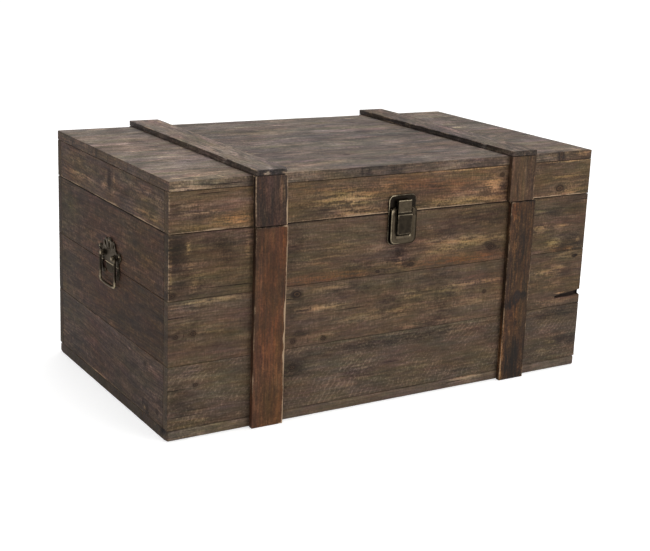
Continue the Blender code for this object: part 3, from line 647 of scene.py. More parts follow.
frontPlanks = {
    1: {"tone": (90, 75, 61), "contrast": 0.95, "hatch": 0.6, "arcs": 0.9, "strayKnots": 0, "strayPale": 0.2,
        "knots": [(-355, 84, 2.6), (-190, 86, 4)],
        "fades": [(400, 70, 130, 200, (-0.18, -0.2, -0.24)), (-330, 70, 80, 200, 0.1),
            (-60, 70, 80, 200, (0.05, 0.04, 0.08))],
        "pale": [(-321, 55, 26, 3, 0.6), (-320, 27, 60, 3, 0.5), (60, 44, 130, 16, 0.3),
            (345, 48, 55, 22, 0.5)],
        "dark": [(-190, 84, 34, 18, 0.8), (0, 104, 170, 10, 0.75), (345, 104, 60, 12, 0.6),
            (-380, 60, 24, 40, 0.55), (-210, 50, 14, 30, 0.5)]},
    2: {"tone": (94, 76, 60), "hatch": 1.0, "strayKnots": 0,
        "knots": [(-185, 204, 5), (-190, 128, 3.4), (-135, 126, 3.4), (-192, 112, 3), (-388, 163, 2.6),
            (-360, 165, 3.4), (182, 165, 2.6), (380, 207, 3.4)],
        "cracks": [(340, 400, 134, 4, 5.6, 5)],
        "fades": [(400, 160, 130, 200, -0.2), (150, 160, 130, 200, -0.06), (-60, 160, 80, 200, 0.06),
            (330, 172, 60, 34, (0.05, 0.06, -0.07))],
        "pale": [(-140, 178, 60, 4, 0.9), (140, 182, 105, 7, 0.75), (31, 178, 30, 6, 0.7),
            (60, 124, 70, 6, 0.6), (333, 181, 48, 14, 0.4), (312, 184, 30, 2, 1.5), (345, 188, 24, 1.5, 1.1),
            (318, 167, 40, 1.5, 1.1), (322, 160, 40, 6, 0.4), (352, 141, 16, 1.4, 1.3),
            (318, 126, 44, 6, 0.6), (-340, 167, 60, 3, 0.6), (-330, 214, 60, 3, 0.8), (-60, 150, 70, 9, 0.4),
            (120, 150, 60, 8, 0.4)],
        "red": [(190, 190, 60, 12, 0.4)],
        "dark": [(-90, 198, 60, 8, 0.5), (95, 166, 40, 8, 0.5), (0, 207, 60, 8, 0.4), (-20, 172, 30, 9, 0.6),
            (-188, 200, 14, 16, 0.6)]},
    3: {"tone": (92, 74, 57), "hatch": 0.9, "strayKnots": 0, "strayPale": 0.4,
        "rub": {"+z": 0.25, "-x-y": 0.7},
        "knots": [(0, 250, 2.8), (27, 229, 2.6), (-38, 224, 2), (189, 242, 4.6), (-396, 226, 4)],
        "fades": [(400, 260, 130, 200, -0.08), (110, 260, 130, 200, (0.09, 0.06, 0.02)),
            (310, 255, 50, 26, (0.03, 0.05, -0.05))],
        "pale": [(-369, 297, 5, 12, 1.0), (-365, 272, 6, 14, 0.5), (-346, 270, 9, 40, 0.35),
            (-358, 238, 8, 16, 0.6), (-272, 290, 4, 30, 0.6), (-396, 260, 3, 60, 0.8),
            (-155, 250, 42, 3, 0.8), (125, 259, 95, 8, 0.8), (95, 249, 58, 6, 0.7), (-120, 272, 60, 8, 0.35),
            (-40, 262, 50, 7, 0.3), (4, 236, 5, 9, 0.8), (-42, 218, 20, 3, 0.7), (296, 265, 20, 8, 0.9),
            (345, 265, 16, 4, 0.9), (331, 233, 18, 8, 1.0), (368, 219, 10, 4, 1.0), (384, 236, 5, 9, 0.9),
            (303, 296, 18, 3, 0.4), (55, 288, 16, 2, 0.7)],
        "red": [(-128, 225, 90, 8, 1.0), (120, 227, 105, 9, 1.0), (352, 222, 26, 4, 0.9)],
        # the first dark stain, a line along the top edge under the lid, is painted shade and dirt at the seam
        "dark": [(0, 317.9, 420, 1.8, 1.6), (-389, 290, 18, 34, 1.1), (-376, 262, 14, 20, 0.7),
            (-310, 300, 38, 14, 0.8), (-370, 240, 40, 16, 0.5), (-306, 285, 16, 26, 0.7),
            (2, 246, 17, 20, 1.1), (20, 233, 20, 11, 1.1), (-30, 226, 24, 7, 0.8), (190, 244, 26, 14, 0.7),
            (330, 290, 50, 12, 0.6), (-190, 290, 22, 30, 0.5), (-60, 290, 60, 10, 0.35),
            (90, 278, 90, 9, 0.45)]},
}
leftLook = {"contrast": 1.7, "cloud": 0.9, "hatch": 1.0}
leftPlanks = {
    1: {"tone": (79, 64, 55), "rub": {"+z": 0.2}, "knots": [(-146, 98, 2.8), (-154, 29, 3.6)],
        "fades": [(-150, 70, 150, 300, (0.14, 0.12, 0.07)), (190, 90, 70, 60, (-0.06, 0.03, 0.02)),
            (40, 80, 70, 60, (0.03, -0.05, -0.02))],
        "pale": [(151, 69, 62, 3, 0.5), (30, 19, 110, 1.6, 1.0), (-148, 27, 6, 4, 1.5),
            (-166, 23, 5, 3, 1.1)],
        "dark": [(134, 39, 75, 14, 0.5), (-139, 33, 5, 3, 1.6), (-157, 21, 7, 3, 1.4)]},
    2: {"tone": (67, 49, 37), "rub": {"-z": 0.2, "+z": 0.2}, "knots": [(112, 125, 2.6)],
        "fades": [(245, 160, 200, 300, (0.39, 0.55, 0.69)), (190, 170, 60, 60, (-0.08, 0.05, 0.0)),
            (20, 160, 70, 60, (0.05, -0.06, -0.04))],
        "dark": [(-100, 150, 70, 18, 0.4)]},
    3: {"tone": (72, 53, 41), "rub": {"-z": 0.2, "-y": 0.4},
        "fades": [(245, 260, 200, 300, (0.24, 0.42, 0.58)), (180, 270, 50, 60, (-0.08, 0.07, 0.0)),
            (40, 260, 80, 60, (0.06, -0.06, -0.02)), (-140, 270, 60, 60, (0.08, 0.05, -0.08))],
        "pale": [(165, 279.5, 48, 2, 1.1), (-171, 263, 36, 5, 0.5), (-171, 234, 36, 3, 0.5)],
        # the first dark stain, a line along the top edge under the lid, is painted shade and dirt at the seam
        "dark": [(0, 317.9, 300, 1.8, 1.4), (150, 230, 60, 12, 0.4)]},
}
rails = {
    "lid_front_rail": {"tone": (101, 80, 60), "contrast": 1.05, "hatch": 1.0, "strayKnots": 0,
        "strayPale": 0.4, "rub": {"-z-y": 1.1, "-x-y": 0.6},
        "knots": [(203, 365, 3.2), (333, 332, 5.4), (75, 322, 2)],
        "fades": [(400, 340, 120, 200, -0.08), (-330, 340, 90, 200, (0.06, 0.08, 0.11))],
        "pale": [(-98, 348, 58, 18, 1.05), (-80, 325, 60, 6, 1.1), (120, 328, 110, 8, 0.8),
            (160, 343, 60, 9, 0.5), (184, 348, 22, 15, 1.1), (125, 378.5, 95, 1.5, 1.0),
            (345, 378.5, 50, 1.5, 1.1), (-355, 347, 40, 4, 0.7), (-290, 331, 40, 11, 0.55),
            (-350, 324, 60, 4, 0.5), (345, 352, 44, 4, 0.6), (350, 325, 46, 5, 0.8), (350, 337, 30, 8, 0.6),
            (-30, 362, 50, 7, 0.4)],
        "red": [(-296, 333, 46, 12, 0.6), (60, 360, 140, 14, 0.45), (-150, 368, 50, 8, 0.6)],
        "dark": [(-146, 334, 16, 6, 0.6), (-345, 340, 22, 4, 0.7), (209, 340, 10, 18, 0.9),
            (385, 345, 12, 16, 0.5), (-175, 338, 30, 10, 0.4), (-20, 340, 24, 12, 0.3)]},
    "lid_left_rail": {"tone": (90, 73, 61), "contrast": 1.5, "cloud": 0.8, "hatch": 0.5, "strayKnots": 0,
        "rub": {"-z-x": 1.0}, "knots": [(-5, 352, 4)],
        "fades": [(130, 331, 90, 11, (0.2, 0.12, -0.05)), (-126, 351, 60, 10, (0.1, 0.13, -0.05)),
            (-180, 331, 70, 10, (0.2, 0.1, -0.05))],
        "pale": [(129, 340, 74, 7, 0.9), (18, 346, 18, 12, 0.9), (-24, 356, 5, 22, 0.9),
            (-160, 331, 70, 5, 0.9), (-112, 353, 36, 3, 0.7)],
        "dark": [(-4, 356, 7, 18, 1.3), (-60, 345, 30, 12, 0.4)]},
    "lid_right_rail": {"tone": (84, 68, 56), "rub": {"-z": 0.5}},
    "lid_back_rail": {"tone": (90, 72, 56), "rub": {"-z": 0.5}},
}
rightLook = {"tone": (80, 66, 55), "hatch": 0.6}
backLook = {"tone": (84, 69, 56), "hatch": 0.8}
lidLook = {"contrast": 1.6, "cloud": 2.1, "hatch": 0.5, "round": 0.7, "ends": (0.46, 0.55, 0.62),
    "bandedEnds": True, "strayPale": 0.4, "strayDark": 0.45,
    # the first fade is painted light: the left end of the top is lighter, as if lit from the back left
    "fades": [(-400, 0, 150, 900, 0.35), (0, 0, 250, 900, -0.05), (-330, -230, 110, 6, (0.06, 0.04, 0.1)),
        (380, -230, 80, 6, (-0.19, -0.37, -0.51)), (30, -230, 320, 6, (0.07, 0.0, -0.12)),
        (0, 200, 300, 60, 0.07)]}
lidBoards = {
    1: {"tone": (92, 79, 69), "rub": {"-y": 0.3, "-z": 0.15}, "knots": [(330, -228, 4.2)],
        "spots": [("pale", (-362, -230, 383), (44, 4, 3), 1.0), ("pale", (-390, -230, 390), (13, 4, 5), 0.7),
            ("dark", (-250, -230, 390), (40, 4, 5), 0.5), ("pale", (380, -230, 392), (26, 4, 4), 1.0),
            ("dark", (-75, -230, 389), (4, 4, 7), 1.5), ("dark", (-66, -230, 383.5), (7, 4, 2.5), 1.4),
            ("dark", (-62, -230, 391), (3, 4, 3), 1.2)],
        "pale": [(-338, -212, 56, 14, 0.6), (378, -222, 26, 10, 0.6)],
        "dark": [(0, -228, 200, 5, 0.3), (295, -219, 10, 2.5, 1.5)]},
    2: {"tone": (90, 78, 69), "knots": [(-41, -128, 3.2), (294, -144, 2.8)],
        "dark": [(-41, -122, 26, 12, 0.5), (-85, -145, 20, 2.5, 1.0), (300, -144, 18, 3, 0.8)]},
    3: {"tone": (91, 79, 70), "pale": [(277, -56, 44, 3, 0.8)], "dark": [(38, -12, 18, 2.5, 1.0)]},
    4: {"tone": (89, 77, 69), "pale": [(310, 50, 32, 7, 1.1)],
        "dark": [(120, 66, 90, 6, 0.6), (-306, 40, 18, 2, 1.2), (-180, 22, 26, 2, 0.9)]},
    5: {"tone": (92, 80, 71), "pale": [(62, 80, 22, 3, 0.6)],
        "dark": [(-352, 118, 16, 2, 1.2), (-322, 84, 14, 2, 1.2)]},
    6: {"tone": (93, 82, 73), "rub": {"+y": 0.5}, "knots": [(-326, 154, 3.2)],
        "pale": [(-41, 164, 66, 7, 0.6)]},
}
for i in (1, 2, 3):
    dressBoard(f"front_plank_{i}", wallWood, "wall_wood", 20 + i, **frontPlanks[i])
    dressBoard(f"left_plank_{i}", wallWood, "wall_wood", 30 + i, **leftLook, **leftPlanks[i])
    dressBoard(f"right_plank_{i}", wallWood, "wall_wood", 40 + i, **rightLook)
    dressBoard(f"back_plank_{i}", wallWood, "wall_wood", 50 + i, step=4.5 * mm, **backLook)
for k, (name, look) in enumerate(rails.items()):
    dressBoard(name, wallWood, "wall_wood", 60 + k, **look)
for i, look in lidBoards.items():
    edges = {"-x": 0.4, "+x": 0.4, **look.get("rub", {})}
    dressBoard(f"lid_board_{i}", lidWood, "lid_wood", 70 + i, outer=1, **{**lidLook, **look, "rub": edges})

floorBoardLook = {"tone": (104, 88, 74), "ends": 0.35}
floorBoards = {
    1: {"worn": [(1, -1, 3.2)], "chips": [((-400, -213, 14), 9, 3.5)],
        "spots": [("dark", (-400, -214, 12), (6, 9, 6), 2)],
        "pale": [(152, -231, 40, 10, 0.8), (-330, -228, 60, 8, 0.4)]},
    5: {"worn": [(1, 1, 3.2)]},
}
for i in range(1, 6):
    dressBoard(f"floor_board_{i}", wallWood, "wall_wood", 80 + i, outer=1, step=4 * mm,
               **floorBoardLook, **floorBoards.get(i, {}))
print("boards: 12 wall planks, 4 lid rails, 6 lid boards, 5 floor boards")

strapLook = {"cloud": 1.4, "hatch": 0.35, "round": 0.8, "sides": 0.35, "ends": 0.3, "strayPale": 0.4,
    "strayDark": 0.5}
straps = {
    "body_strap_front_left": {"tone": (88, 59, 38), "contrast": 1.25, "strayKnots": 0,
        "rub": {"-x": 0.6, "+x": 2.4, "+z": 0.6},
        "fades": [(60, -239, 90, 90, (0.32, 0.26, 0.16)), (260, -239, 60, 90, -0.11),
            (160, -262, 300, 12, (-0.16, -0.1, 0.0)), (285, -213, 45, 9, (0.22, 0.0, -0.15))],
        "pale": [(80, -246, 80, 4, 0.35), (60, -228, 70, 3, 0.3)], "red": [(200, -239, 100, 24, 0.45)],
        # the last dark stain, a line along the top end under the lid, is painted shade and dirt at the seam
        "dark": [(285, -252, 22, 10, 0.4), (170, -250, 70, 5, 0.35), (317.9, -239, 1.8, 60, 1.4)]},
    "lid_strap_front_left": {"tone": (65, 48, 38), "contrast": 1.6, "lean": -1.1, "strayKnots": 0,
        "rub": {"-x": 0.9, "+x": 1.8, "-z": 0.4},
        "pale": [(376, -258, 16, 6, 0.6), (372, -220, 22, 5, 1.2), (345, -253, 22, 3, 0.8),
            (325, -232, 8, 10, 0.5)],
        "red": [(378, -257, 24, 8, 1.0)], "dark": [(350, -240, 30, 12, 0.35)]},
    "body_strap_front_right": {"tone": (68, 46, 28), "contrast": 2.1, "strayKnots": 0,
        "rub": {"-x": 0.6, "+x": 0.5, "+z": 0.4}, "knots": [(148, 247, 6)],
        "fades": [(165, 246, 60, 90, (-0.07, -0.07, -0.1))],
        "pale": [(230, 235, 100, 4, 0.9), (45, 222, 60, 3, 1.5), (285, 262, 30, 3, 0.5),
            (160, 262, 6, 8, 0.7), (110, 250, 16, 10, 0.6)],
        "red": [(305, 232, 12, 14, 0.8)],
        # the first dark stain, a line along the top end under the lid, is painted shade and dirt at the seam
        "dark": [(317.9, 246, 1.8, 60, 1.4), (24, 250, 46, 24, 1.3), (152, 256, 9, 14, 1.9),
            (145, 243, 8, 12, 1.9), (136, 231, 8, 9, 1.7), (250, 246, 60, 9, 0.5)]},
    "lid_strap_front_right": {"tone": (86, 64, 46), "contrast": 1.4, "strayKnots": 0,
        "rub": {"-x": 0.3, "+x": 0.6, "-z": 0.3}},
    "body_strap_back_left": {"tone": (82, 60, 46), "rub": {"-x": 0.7, "+x": 0.7}},
    "body_strap_back_right": {"tone": (78, 59, 47), "rub": {"-x": 0.7, "+x": 0.7}},
    "lid_strap_back_left": {"tone": (80, 62, 49), "rub": {"-x": 0.6, "+x": 0.6}},
    "lid_strap_back_right": {"tone": (82, 64, 51), "rub": {"-x": 0.6, "+x": 0.6}},
    "lid_strap_top_left": {"tone": (105, 91, 81), "contrast": 1.8, "strayKnots": 1,
        "rub": {"-x": 0.4, "+x": 0.5, "-y": 0.3, "+y": 0.4},
        "chips": [((-266, -132, 405), 9, 6), ((-213, -239, 405), 8, 3)],
        "spots": [("dark", (-245, -239.3, 401), (34, 5, 8), 0.9),
            ("dark", (-220, -232, 405), (12, 14, 6), 0.8), ("pale", (-247, -239.3, 399), (9, 4, 3), 1.5),
            ("pale", (-216, -239.3, 399), (7, 4, 2.5), 1.6)]},
    "lid_strap_top_right": {"tone": (83, 71, 63), "contrast": 2.3, "ends": (0.0, 0.05, 0.1), "strayKnots": 1,
        "rub": {"-x": 0.5, "+x": 0.5, "-y": 0.3, "+y": 0.4}, "chips": [((215, -158, 405), 9, 5)]},
}
for k, (name, look) in enumerate(straps.items()):
    dressBoard(name, strapWood, "strap_wood", 100 + k, step=3 * mm, outer=1 if "top" in name else None,
               **{**strapLook, **look})
print("straps: 10")


castLook = {
    "calm": 0.5,  # how much each smoothing pass softens an edge
    "passes": 3,
    "rimTilt": 0.45,  # points that face the front less than this are on the rim
    "faceTilt": 0.3,  # points that face it more than this are on the front
    "domeReach": 2.2,  # how far a dome runs in from the rim, in its own heights
    "wornBend": 0.30,  # how sharp an edge is where it is rubbed bare
    "sootyBend": 0.12,
    "bare": 0.3,
}


def castPiece(node, voxel, finish, dome=0.0, facing=None):
    # a CAD node as cast metal: edges softened, with relief, and rubbed and sooty places from finish, among
    # them painted highlights and painted shade
    shell = bmesh.new()
    shell.from_mesh(nodes[node].data)
    bmesh.ops.remove_doubles(shell, verts=shell.verts, dist=1e-6)
    mesh = bpy.data.meshes.new(node + "_shell")
    shell.to_mesh(mesh)
    shell.free()
    work = intoScene(node + "_shell", mesh)
    grid = work.modifiers.new("grid", "REMESH")
    grid.mode = "VOXEL"
    grid.voxel_size = voxel * mm
    calm = work.modifiers.new("calm", "SMOOTH")
    calm.factor = castLook["calm"]
    calm.iterations = castLook["passes"]
    fine = settled(work)
    points, normals = readOff(fine.vertices, "co", 3), readOff(fine.vertices, "normal", 3)

    # a domed front, lower towards its rim
    if dome:
        side = normals @ np.array(facing)
        rim = np.nonzero(np.abs(side) < castLook["rimTilt"])[0]
        tree = kdtree.KDTree(len(rim))
        for k in rim:
            tree.insert(points[k], int(k))
        tree.balance()
        front = np.nonzero(side > castLook["faceTilt"])[0]
        gap = np.array([tree.find(points[k])[2] for k in front])
        drop = dome * mm * np.exp(-(gap / (castLook["domeReach"] * dome * mm)) ** 2)
        points[front] -= np.array(facing) * drop[:, None]
    made = {"lift": 0, "wear": 0, "sootAndShade": 0, "bare": castLook["bare"], **finish(points, normals)}
    points += normals * np.broadcast_to(made["lift"], len(points))[:, None]
    fine.vertices.foreach_set("co", points.ravel())
    fine.update()

    # how sharply the surface bends at each point, evened out twice over its neighbours
    normals = readOff(fine.vertices, "normal", 3)
    pairs = readOff(fine.edges, "vertices", 2, np.int32)
    step = points[pairs[:, 0]] - points[pairs[:, 1]]
    length = np.maximum(np.linalg.norm(step, axis=1), 1e-9)
    curve, share = np.zeros(len(points)), np.zeros(len(points))
    for near, sign in ((0, 1), (1, -1)):
        bend = np.einsum("ij,ij->i", normals[pairs[:, near]], step * sign) / length
        np.add.at(curve, pairs[:, near], bend)
        np.add.at(share, pairs[:, near], 1)
    curve /= np.maximum(share, 1)
    for _ in range(2):
        total = curve.copy()
        np.add.at(total, pairs[:, 0], curve[pairs[:, 1]])
        np.add.at(total, pairs[:, 1], curve[pairs[:, 0]])
        curve = total / (share + 1)
    rub = np.stack([np.clip(np.maximum(curve / castLook["wornBend"], made["wear"]), 0, 1),
                    np.clip(np.maximum(-curve / castLook["sootyBend"], made["sootAndShade"]), 0, 1),
                    np.broadcast_to(made["bare"], len(points))], 1)
    thing = intoScene(node + "_cast", fine)
    fine.shade_smooth()
    perPoint(fine, "rub", rub)
    fine.materials.clear()
    fine.materials.append(bronze)
    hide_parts(node)
    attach(thing, bodyOf[node])


def roundGap(x, z, half, low, high, corner):
    # how far a point is inside a rectangle with round corners
    x = np.abs(x) - (half - corner)
    z = np.abs(z - (low + high) / 2) - ((high - low) / 2 - corner)
    return corner - np.hypot(np.maximum(x, 0), np.maximum(z, 0)) - np.minimum(np.maximum(x, z), 0)


# Places on the latch are in mm, across from its middle and up from the floor.
latch = {
    "middle": 2.0,
    "plateHalf": 26.0, "plateLow": 266.2, "plateHigh": 347.0, "corner": 9.5,
    "rimWide": 1.0, "rimHigh": 0.35,  # the raised rim of the plates
    "ringHalf": 24.4, "ringLow": 268.0, "ringHigh": 400.0, "ringDome": 1.5,
    "ringPaintedGlints": [(-21, 322, 2.4, 4, 0.7), (13, 281.5, 2, 2, 1)],  # painted glints on the ring: across, up, half sizes, strength
    "linkHalf": 13.5, "linkLow": 284.0, "linkDome": 0.3, "linkRelief": 0.22,
    "crease": 317.9, "creaseDeep": 0.7, "tongueHigh": 339.4,
    "voxel": 0.4, "pinVoxel": 0.3,
}


def latchPlace(points, normals):
    # across and up in mm, and how much each point faces the front
    return points[:, 0] / mm - latch["middle"], points[:, 2] / mm, grade(-normals[:, 1], 0.2, 0.7)


def plateFinish(points, normals):
    # black plate with a raised rim, rubbed and given a painted highlight at its upper left; its sides are
    # painted dark as shade
    x, z, _ = latchPlace(points, normals)
    ahead = -normals[:, 1] > 0.5
    gap = roundGap(x, z, latch["plateHalf"], latch["plateLow"], latch["plateHigh"], latch["corner"])
    rim = hump(gap, latch["rimWide"], 0.7)
    # the rim's wear at the upper left is also a painted highlight; the sides, where ahead is 0, carry painted
    # shade
    return {"lift": ahead * latch["rimHigh"] * mm * grade(gap, 2.4, 1.0),
            "wear": rim * ahead * 0.9 * grade(z - 2 * x, 350, 385),
            "sootAndShade": 0.75 * grade(gap, 1.8, 3.0) * ahead + 0.5 * (1 - ahead), "bare": 0.1 + 0.3 * rim}


def ringFinish(points, normals):
    # plain bronze ring, rubbed on its left with a painted highlight and two painted glints; its sides are
    # painted dark as shade, most on the inner sides
    x, z, ahead = latchPlace(points, normals)
    outer = roundGap(x, z, latch["ringHalf"], latch["ringLow"], latch["ringHigh"], latch["corner"])
    inner = grade(outer, 7.5, 10.0)
    # painted glints: bright spots painted into the rubbed colour
    paintedGlint = sum(strength * np.exp(-((x - across) / wide) ** 2 - ((z - up) / high) ** 2)
                for across, up, wide, high, strength in latch["ringPaintedGlints"])
    # the left rim: wear and a painted highlight
    rim = 0.60 * hump(outer, 1.4, 1.0) * grade(-x - z / 4, -72, -56)
    # the sides carry painted shade, most on the inner sides
    return {"wear": ahead * (rim + 0.8 * np.minimum(paintedGlint, 1)),
            "sootAndShade": 0.9 * (1 - ahead) * inner + 0.35 * (1 - ahead), "bare": 0.72}


def linkFinish(points, normals):
    # the tongue is plain bronze. The lower plate is black inside a rubbed rim, with a groove at the crease.
    # The ridges beside the groove and the tongue's top edge carry painted highlights along with wear, and the
    # groove and the sides carry painted shade
    x, z, ahead = latchPlace(points, normals)
    crease = z - latch["crease"]
    lower = grade(crease, 0.2, -0.6)
    gap = np.minimum(latch["linkHalf"] - np.abs(x), z - latch["linkLow"])
    rim = hump(gap, 0.9, 0.7) * lower
    ridges = hump(crease, 2.3, 0.8) + hump(crease, -2.1, 0.8)
    groove = hump(crease, 0.1, 1.1)
    top = hump(z, latch["tongueHigh"] - 0.6, 1.2)
    high = latch["linkRelief"]
    hollow = 0.55 * lower * grade(gap, 1.8, 3.0) * grade(-crease, 2.0, 3.5)
    lift = high * grade(gap, 2.2, 1.0) * lower + high * ridges - latch["creaseDeep"] * groove
    # ridges and top: wear and painted highlights; groove and sides: painted shade
    return {"lift": mm * ahead * lift,
            "wear": ahead * (0.3 * rim + 0.5 * ridges + 0.55 * top),
            "sootAndShade": ahead * (1.3 * groove + hollow) + 0.6 * (1 - ahead), "bare": 0.42 + 0.28 * (1 - lower)}


def plainFinish(points, normals):
    return {"bare": 0.35}


outward = (0, -1, 0)
castPiece("latch_keeper", latch["voxel"], plateFinish)
castPiece("latch_base", latch["voxel"], plateFinish)
castPiece("latch_lever", latch["voxel"], ringFinish, latch["ringDome"], outward)
castPiece("latch_link", latch["voxel"], linkFinish, latch["linkDome"], outward)
castPiece("latch_lever_pin", latch["pinVoxel"], plainFinish)
castPiece("latch_link_pin", latch["pinVoxel"], plainFinish)
print("latch: keeper, base, ring, link and pins")

# On the handles u runs along the wall and v up from the bail's axis, in mm.
handle = {
    "middle": (-10.0, 234.8), "wall": 400.0,
    "relief": (1.4, 3.4),  # how far out the carved face lies
    "fluteCount": 11, "fluteHigh": 0.30, "fanLow": 3.0,
    "wing": (40.0, 7.0), "lobe": (31.0, -26.0), "scrollPitch": 3.4, "foldPitch": 4.6,
    "barPlace": -12.0, "barHigh": 0.6,
    "voxel": 0.42, "dome": 0.45, "bailVoxel": 0.38, "hingeVoxel": 0.4,
    "nails": [(-40.5, 7.0), (40.5, 7.0), (0, 24.6)], "nailRadius": 1.7, "nailHeight": 0.9, "plateThick": 2.3,
}


def handleFinish(points, normals):
    # fluted crown, scrolled wings and lobes, and a bar across the middle; the bar and the post tips are
    # brightened with wear and painted highlights
    u, v = points[:, 1] / mm - handle["middle"][0], points[:, 2] / mm - handle["middle"][1]
    wide = np.abs(u)
    out = np.abs(points[:, 0]) / mm - handle["wall"]
    near, far = handle["relief"]
    ahead = grade(np.abs(normals[:, 0]), 0.5, 0.85) * (out > near) * (out < far)
    up = v - handle["fanLow"]
    flute = np.cos(np.arctan2(up, wide) * handle["fluteCount"])
    crown = grade(v, 7.0, 10.0) * grade(wide, 27.0, 23.0) * grade(np.hypot(u, up), 6.0, 9.0)
    curl = np.minimum(*(np.hypot(wide - aside, v - high) for aside, high in (handle["wing"], handle["lobe"])))
    scroll = np.cos(2 * math.pi * curl / handle["scrollPitch"])
    rings = grade(curl, 13.0, 10.5) * (1 - crown)
    pendant = grade(-v, 13.0, 14.5) * grade(wide, 15.5, 14.0)
    fold = np.cos(2 * math.pi * u / handle["foldPitch"])
    bar = hump(v, handle["barPlace"], 0.9) * grade(wide, 38.0, 36.0)
    wave = crown * flute + rings * scroll + pendant * fold
    tip = grade(out, 8.4, 9.0)
    post = grade(out, 3.6, 4.4)
    # the bar and the tips of the posts: wear and painted highlights
    return {"lift": mm * ahead * (handle["fluteHigh"] * wave + handle["barHigh"] * bar),
            "wear": ahead * (0.5 * np.maximum(wave, 0) ** 3 + 0.95 * bar) + 0.4 * tip + 0.3 * post,
            "sootAndShade": ahead * 0.9 * np.maximum(-wave, 0) ** 1.5 + 0.62 * ahead * (1 - bar) + 0.5 * (out < 1.6),
            "bare": 0.22 + 0.4 * post}


def wireFinish(points, normals):
    # rubbed by hands at the bottom corners
    u, v = points[:, 1] / mm - handle["middle"][0], points[:, 2] / mm - handle["middle"][1]
    low = hump(v, -46.0, 14.0)
    eye = grade(v, -8.0, -4.0)
    return {"bare": 0.3 + 0.4 * low, "wear": 0.15 + 0.45 * low * grade(np.abs(u), 12.0, 28.0) + 0.25 * eye,
            "sootAndShade": 0.3 * (1 - low) * (1 - eye)}


for side, out in (("left", (-1, 0, 0)), ("right", (1, 0, 0))):
    for part in ("body_leaf", "lid_leaf", "pin"):
        castPiece(f"hinge_{side}_{part}", handle["hingeVoxel"], plainFinish)
    castPiece(f"handle_{side}_plate", handle["voxel"], handleFinish, handle["dome"], out)
    castPiece(f"handle_{side}_bail", handle["bailVoxel"], wireFinish)
print("hinges and handles")


def headTree():
    # round heads at every point of a mesh, facing the way its "away" attribute says, with or without a slot
    tree = bpy.data.node_groups.new("fastenerHeads", "GeometryNodeTree")
    face = tree.interface
    face.new_socket("Geometry", in_out="INPUT", socket_type="NodeSocketGeometry")
    for name, kind, value in (("Head Radius", "Float", 3.4 * mm), ("Head Height", "Float", 1.0 * mm),
                              ("Slot Width", "Float", 0.7 * mm), ("Seed", "Int", 3)):
        face.new_socket(name, in_out="INPUT", socket_type="NodeSocket" + kind).default_value = value
    face.new_socket("Material", in_out="INPUT", socket_type="NodeSocketMaterial")
    face.new_socket("Geometry", in_out="OUTPUT", socket_type="NodeSocketGeometry")

    g = Bench(tree)

    def geo(kind, plugs=(), **settings):
        return g.add("GeometryNode" + kind, plugs, **settings).outputs

    # one ball, flattened, and the same with a bar cut out of it
    start = g.add("NodeGroupInput").outputs
    wide, high, slot = start["Head Radius"], start["Head Height"], start["Slot Width"]
    ball = geo("MeshUVSphere", {"Segments": 24, "Rings": 12, "Radius": 1.0})["Mesh"]
    ball = geo("Transform", {"Geometry": ball, "Scale": g.join(wide, wide, high)})[0]
    ball = geo("SetShadeSmooth", {"Geometry": ball})[0]
    bar = geo("MeshCube", {"Size": g.join(g.times(wide, 3.0), slot, high)})["Mesh"]
    bar = geo("Transform", {"Geometry": bar, "Translation": g.join(0.0, 0.0, high)})[0]
    cut = geo("MeshBoolean", {"Mesh 1": ball, "Mesh 2": bar}, operation="DIFFERENCE", solver="EXACT")["Mesh"]
    wanted = g.calc("GREATER_THAN", slot, 0.05 * mm)
    head = geo("Switch", {"Switch": wanted, "False": ball, "True": cut}, input_type="GEOMETRY")[0]

    # rubbed towards the top
    level = g.calc("DIVIDE", g.split(geo("InputPosition")[0])["Z"], high)
    head = geo("StoreNamedAttribute", {"Geometry": head, "Name": "rub", "Value": g.join(level, 0.1, 0.4)},
               data_type="FLOAT_VECTOR", domain="POINT")[0]

    # turned away from the wall, and by chance about its own axis
    away = geo("InputNamedAttribute", {"Name": "away"}, data_type="FLOAT_VECTOR")[0]
    faceOut = g.add("FunctionNodeAlignRotationToVector", {"Vector": away}, axis="Z").outputs[0]
    fullTurn = 6.283
    spin = g.add("FunctionNodeRandomValue", {"Max": fullTurn, "Seed": start["Seed"]}, data_type="FLOAT")
    spin = [socket for socket in spin.outputs if socket.type == "VALUE"][0]
    spin = g.add("FunctionNodeAxisAngleToRotation", {"Axis": (0, 0, 1), "Angle": spin}).outputs[0]
    turn = g.add("FunctionNodeRotateRotation", {"Rotation": faceOut, "Rotate By": spin},
                 rotation_space="LOCAL").outputs[0]
    heads = geo("InstanceOnPoints", {"Points": start["Geometry"], "Instance": head, "Rotation": turn})[0]
    heads = geo("RealizeInstances", {"Geometry": heads})[0]
    heads = geo("SetMaterial", {"Geometry": heads, "Material": start["Material"]})[0]
    g.add("NodeGroupOutput", {0: heads})
    return tree


heads = headTree()


def fasteners(name, body, places, away, radius, height, slotWidth, seed):
    spots = bpy.data.meshes.new(name + "_spots")
    spots.from_pydata([Vector(p) * mm for p in places], [], [])
    perPoint(spots, "away", np.tile(np.array(away, float), (len(places), 1)))
    work = intoScene(name + "_spots", spots)
    modifier = work.modifiers.new("heads", "NODES")
    modifier.node_group = heads
    wanted = {"Head Radius": radius * mm, "Head Height": height * mm, "Slot Width": slotWidth * mm,
              "Seed": seed, "Material": bronze}
    for socket in heads.interface.items_tree:
        if socket.in_out == "INPUT" and socket.name in wanted:
            modifier[socket.identifier] = wanted[socket.name]
    thing = intoScene(name, settled(work))
    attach(thing, body)


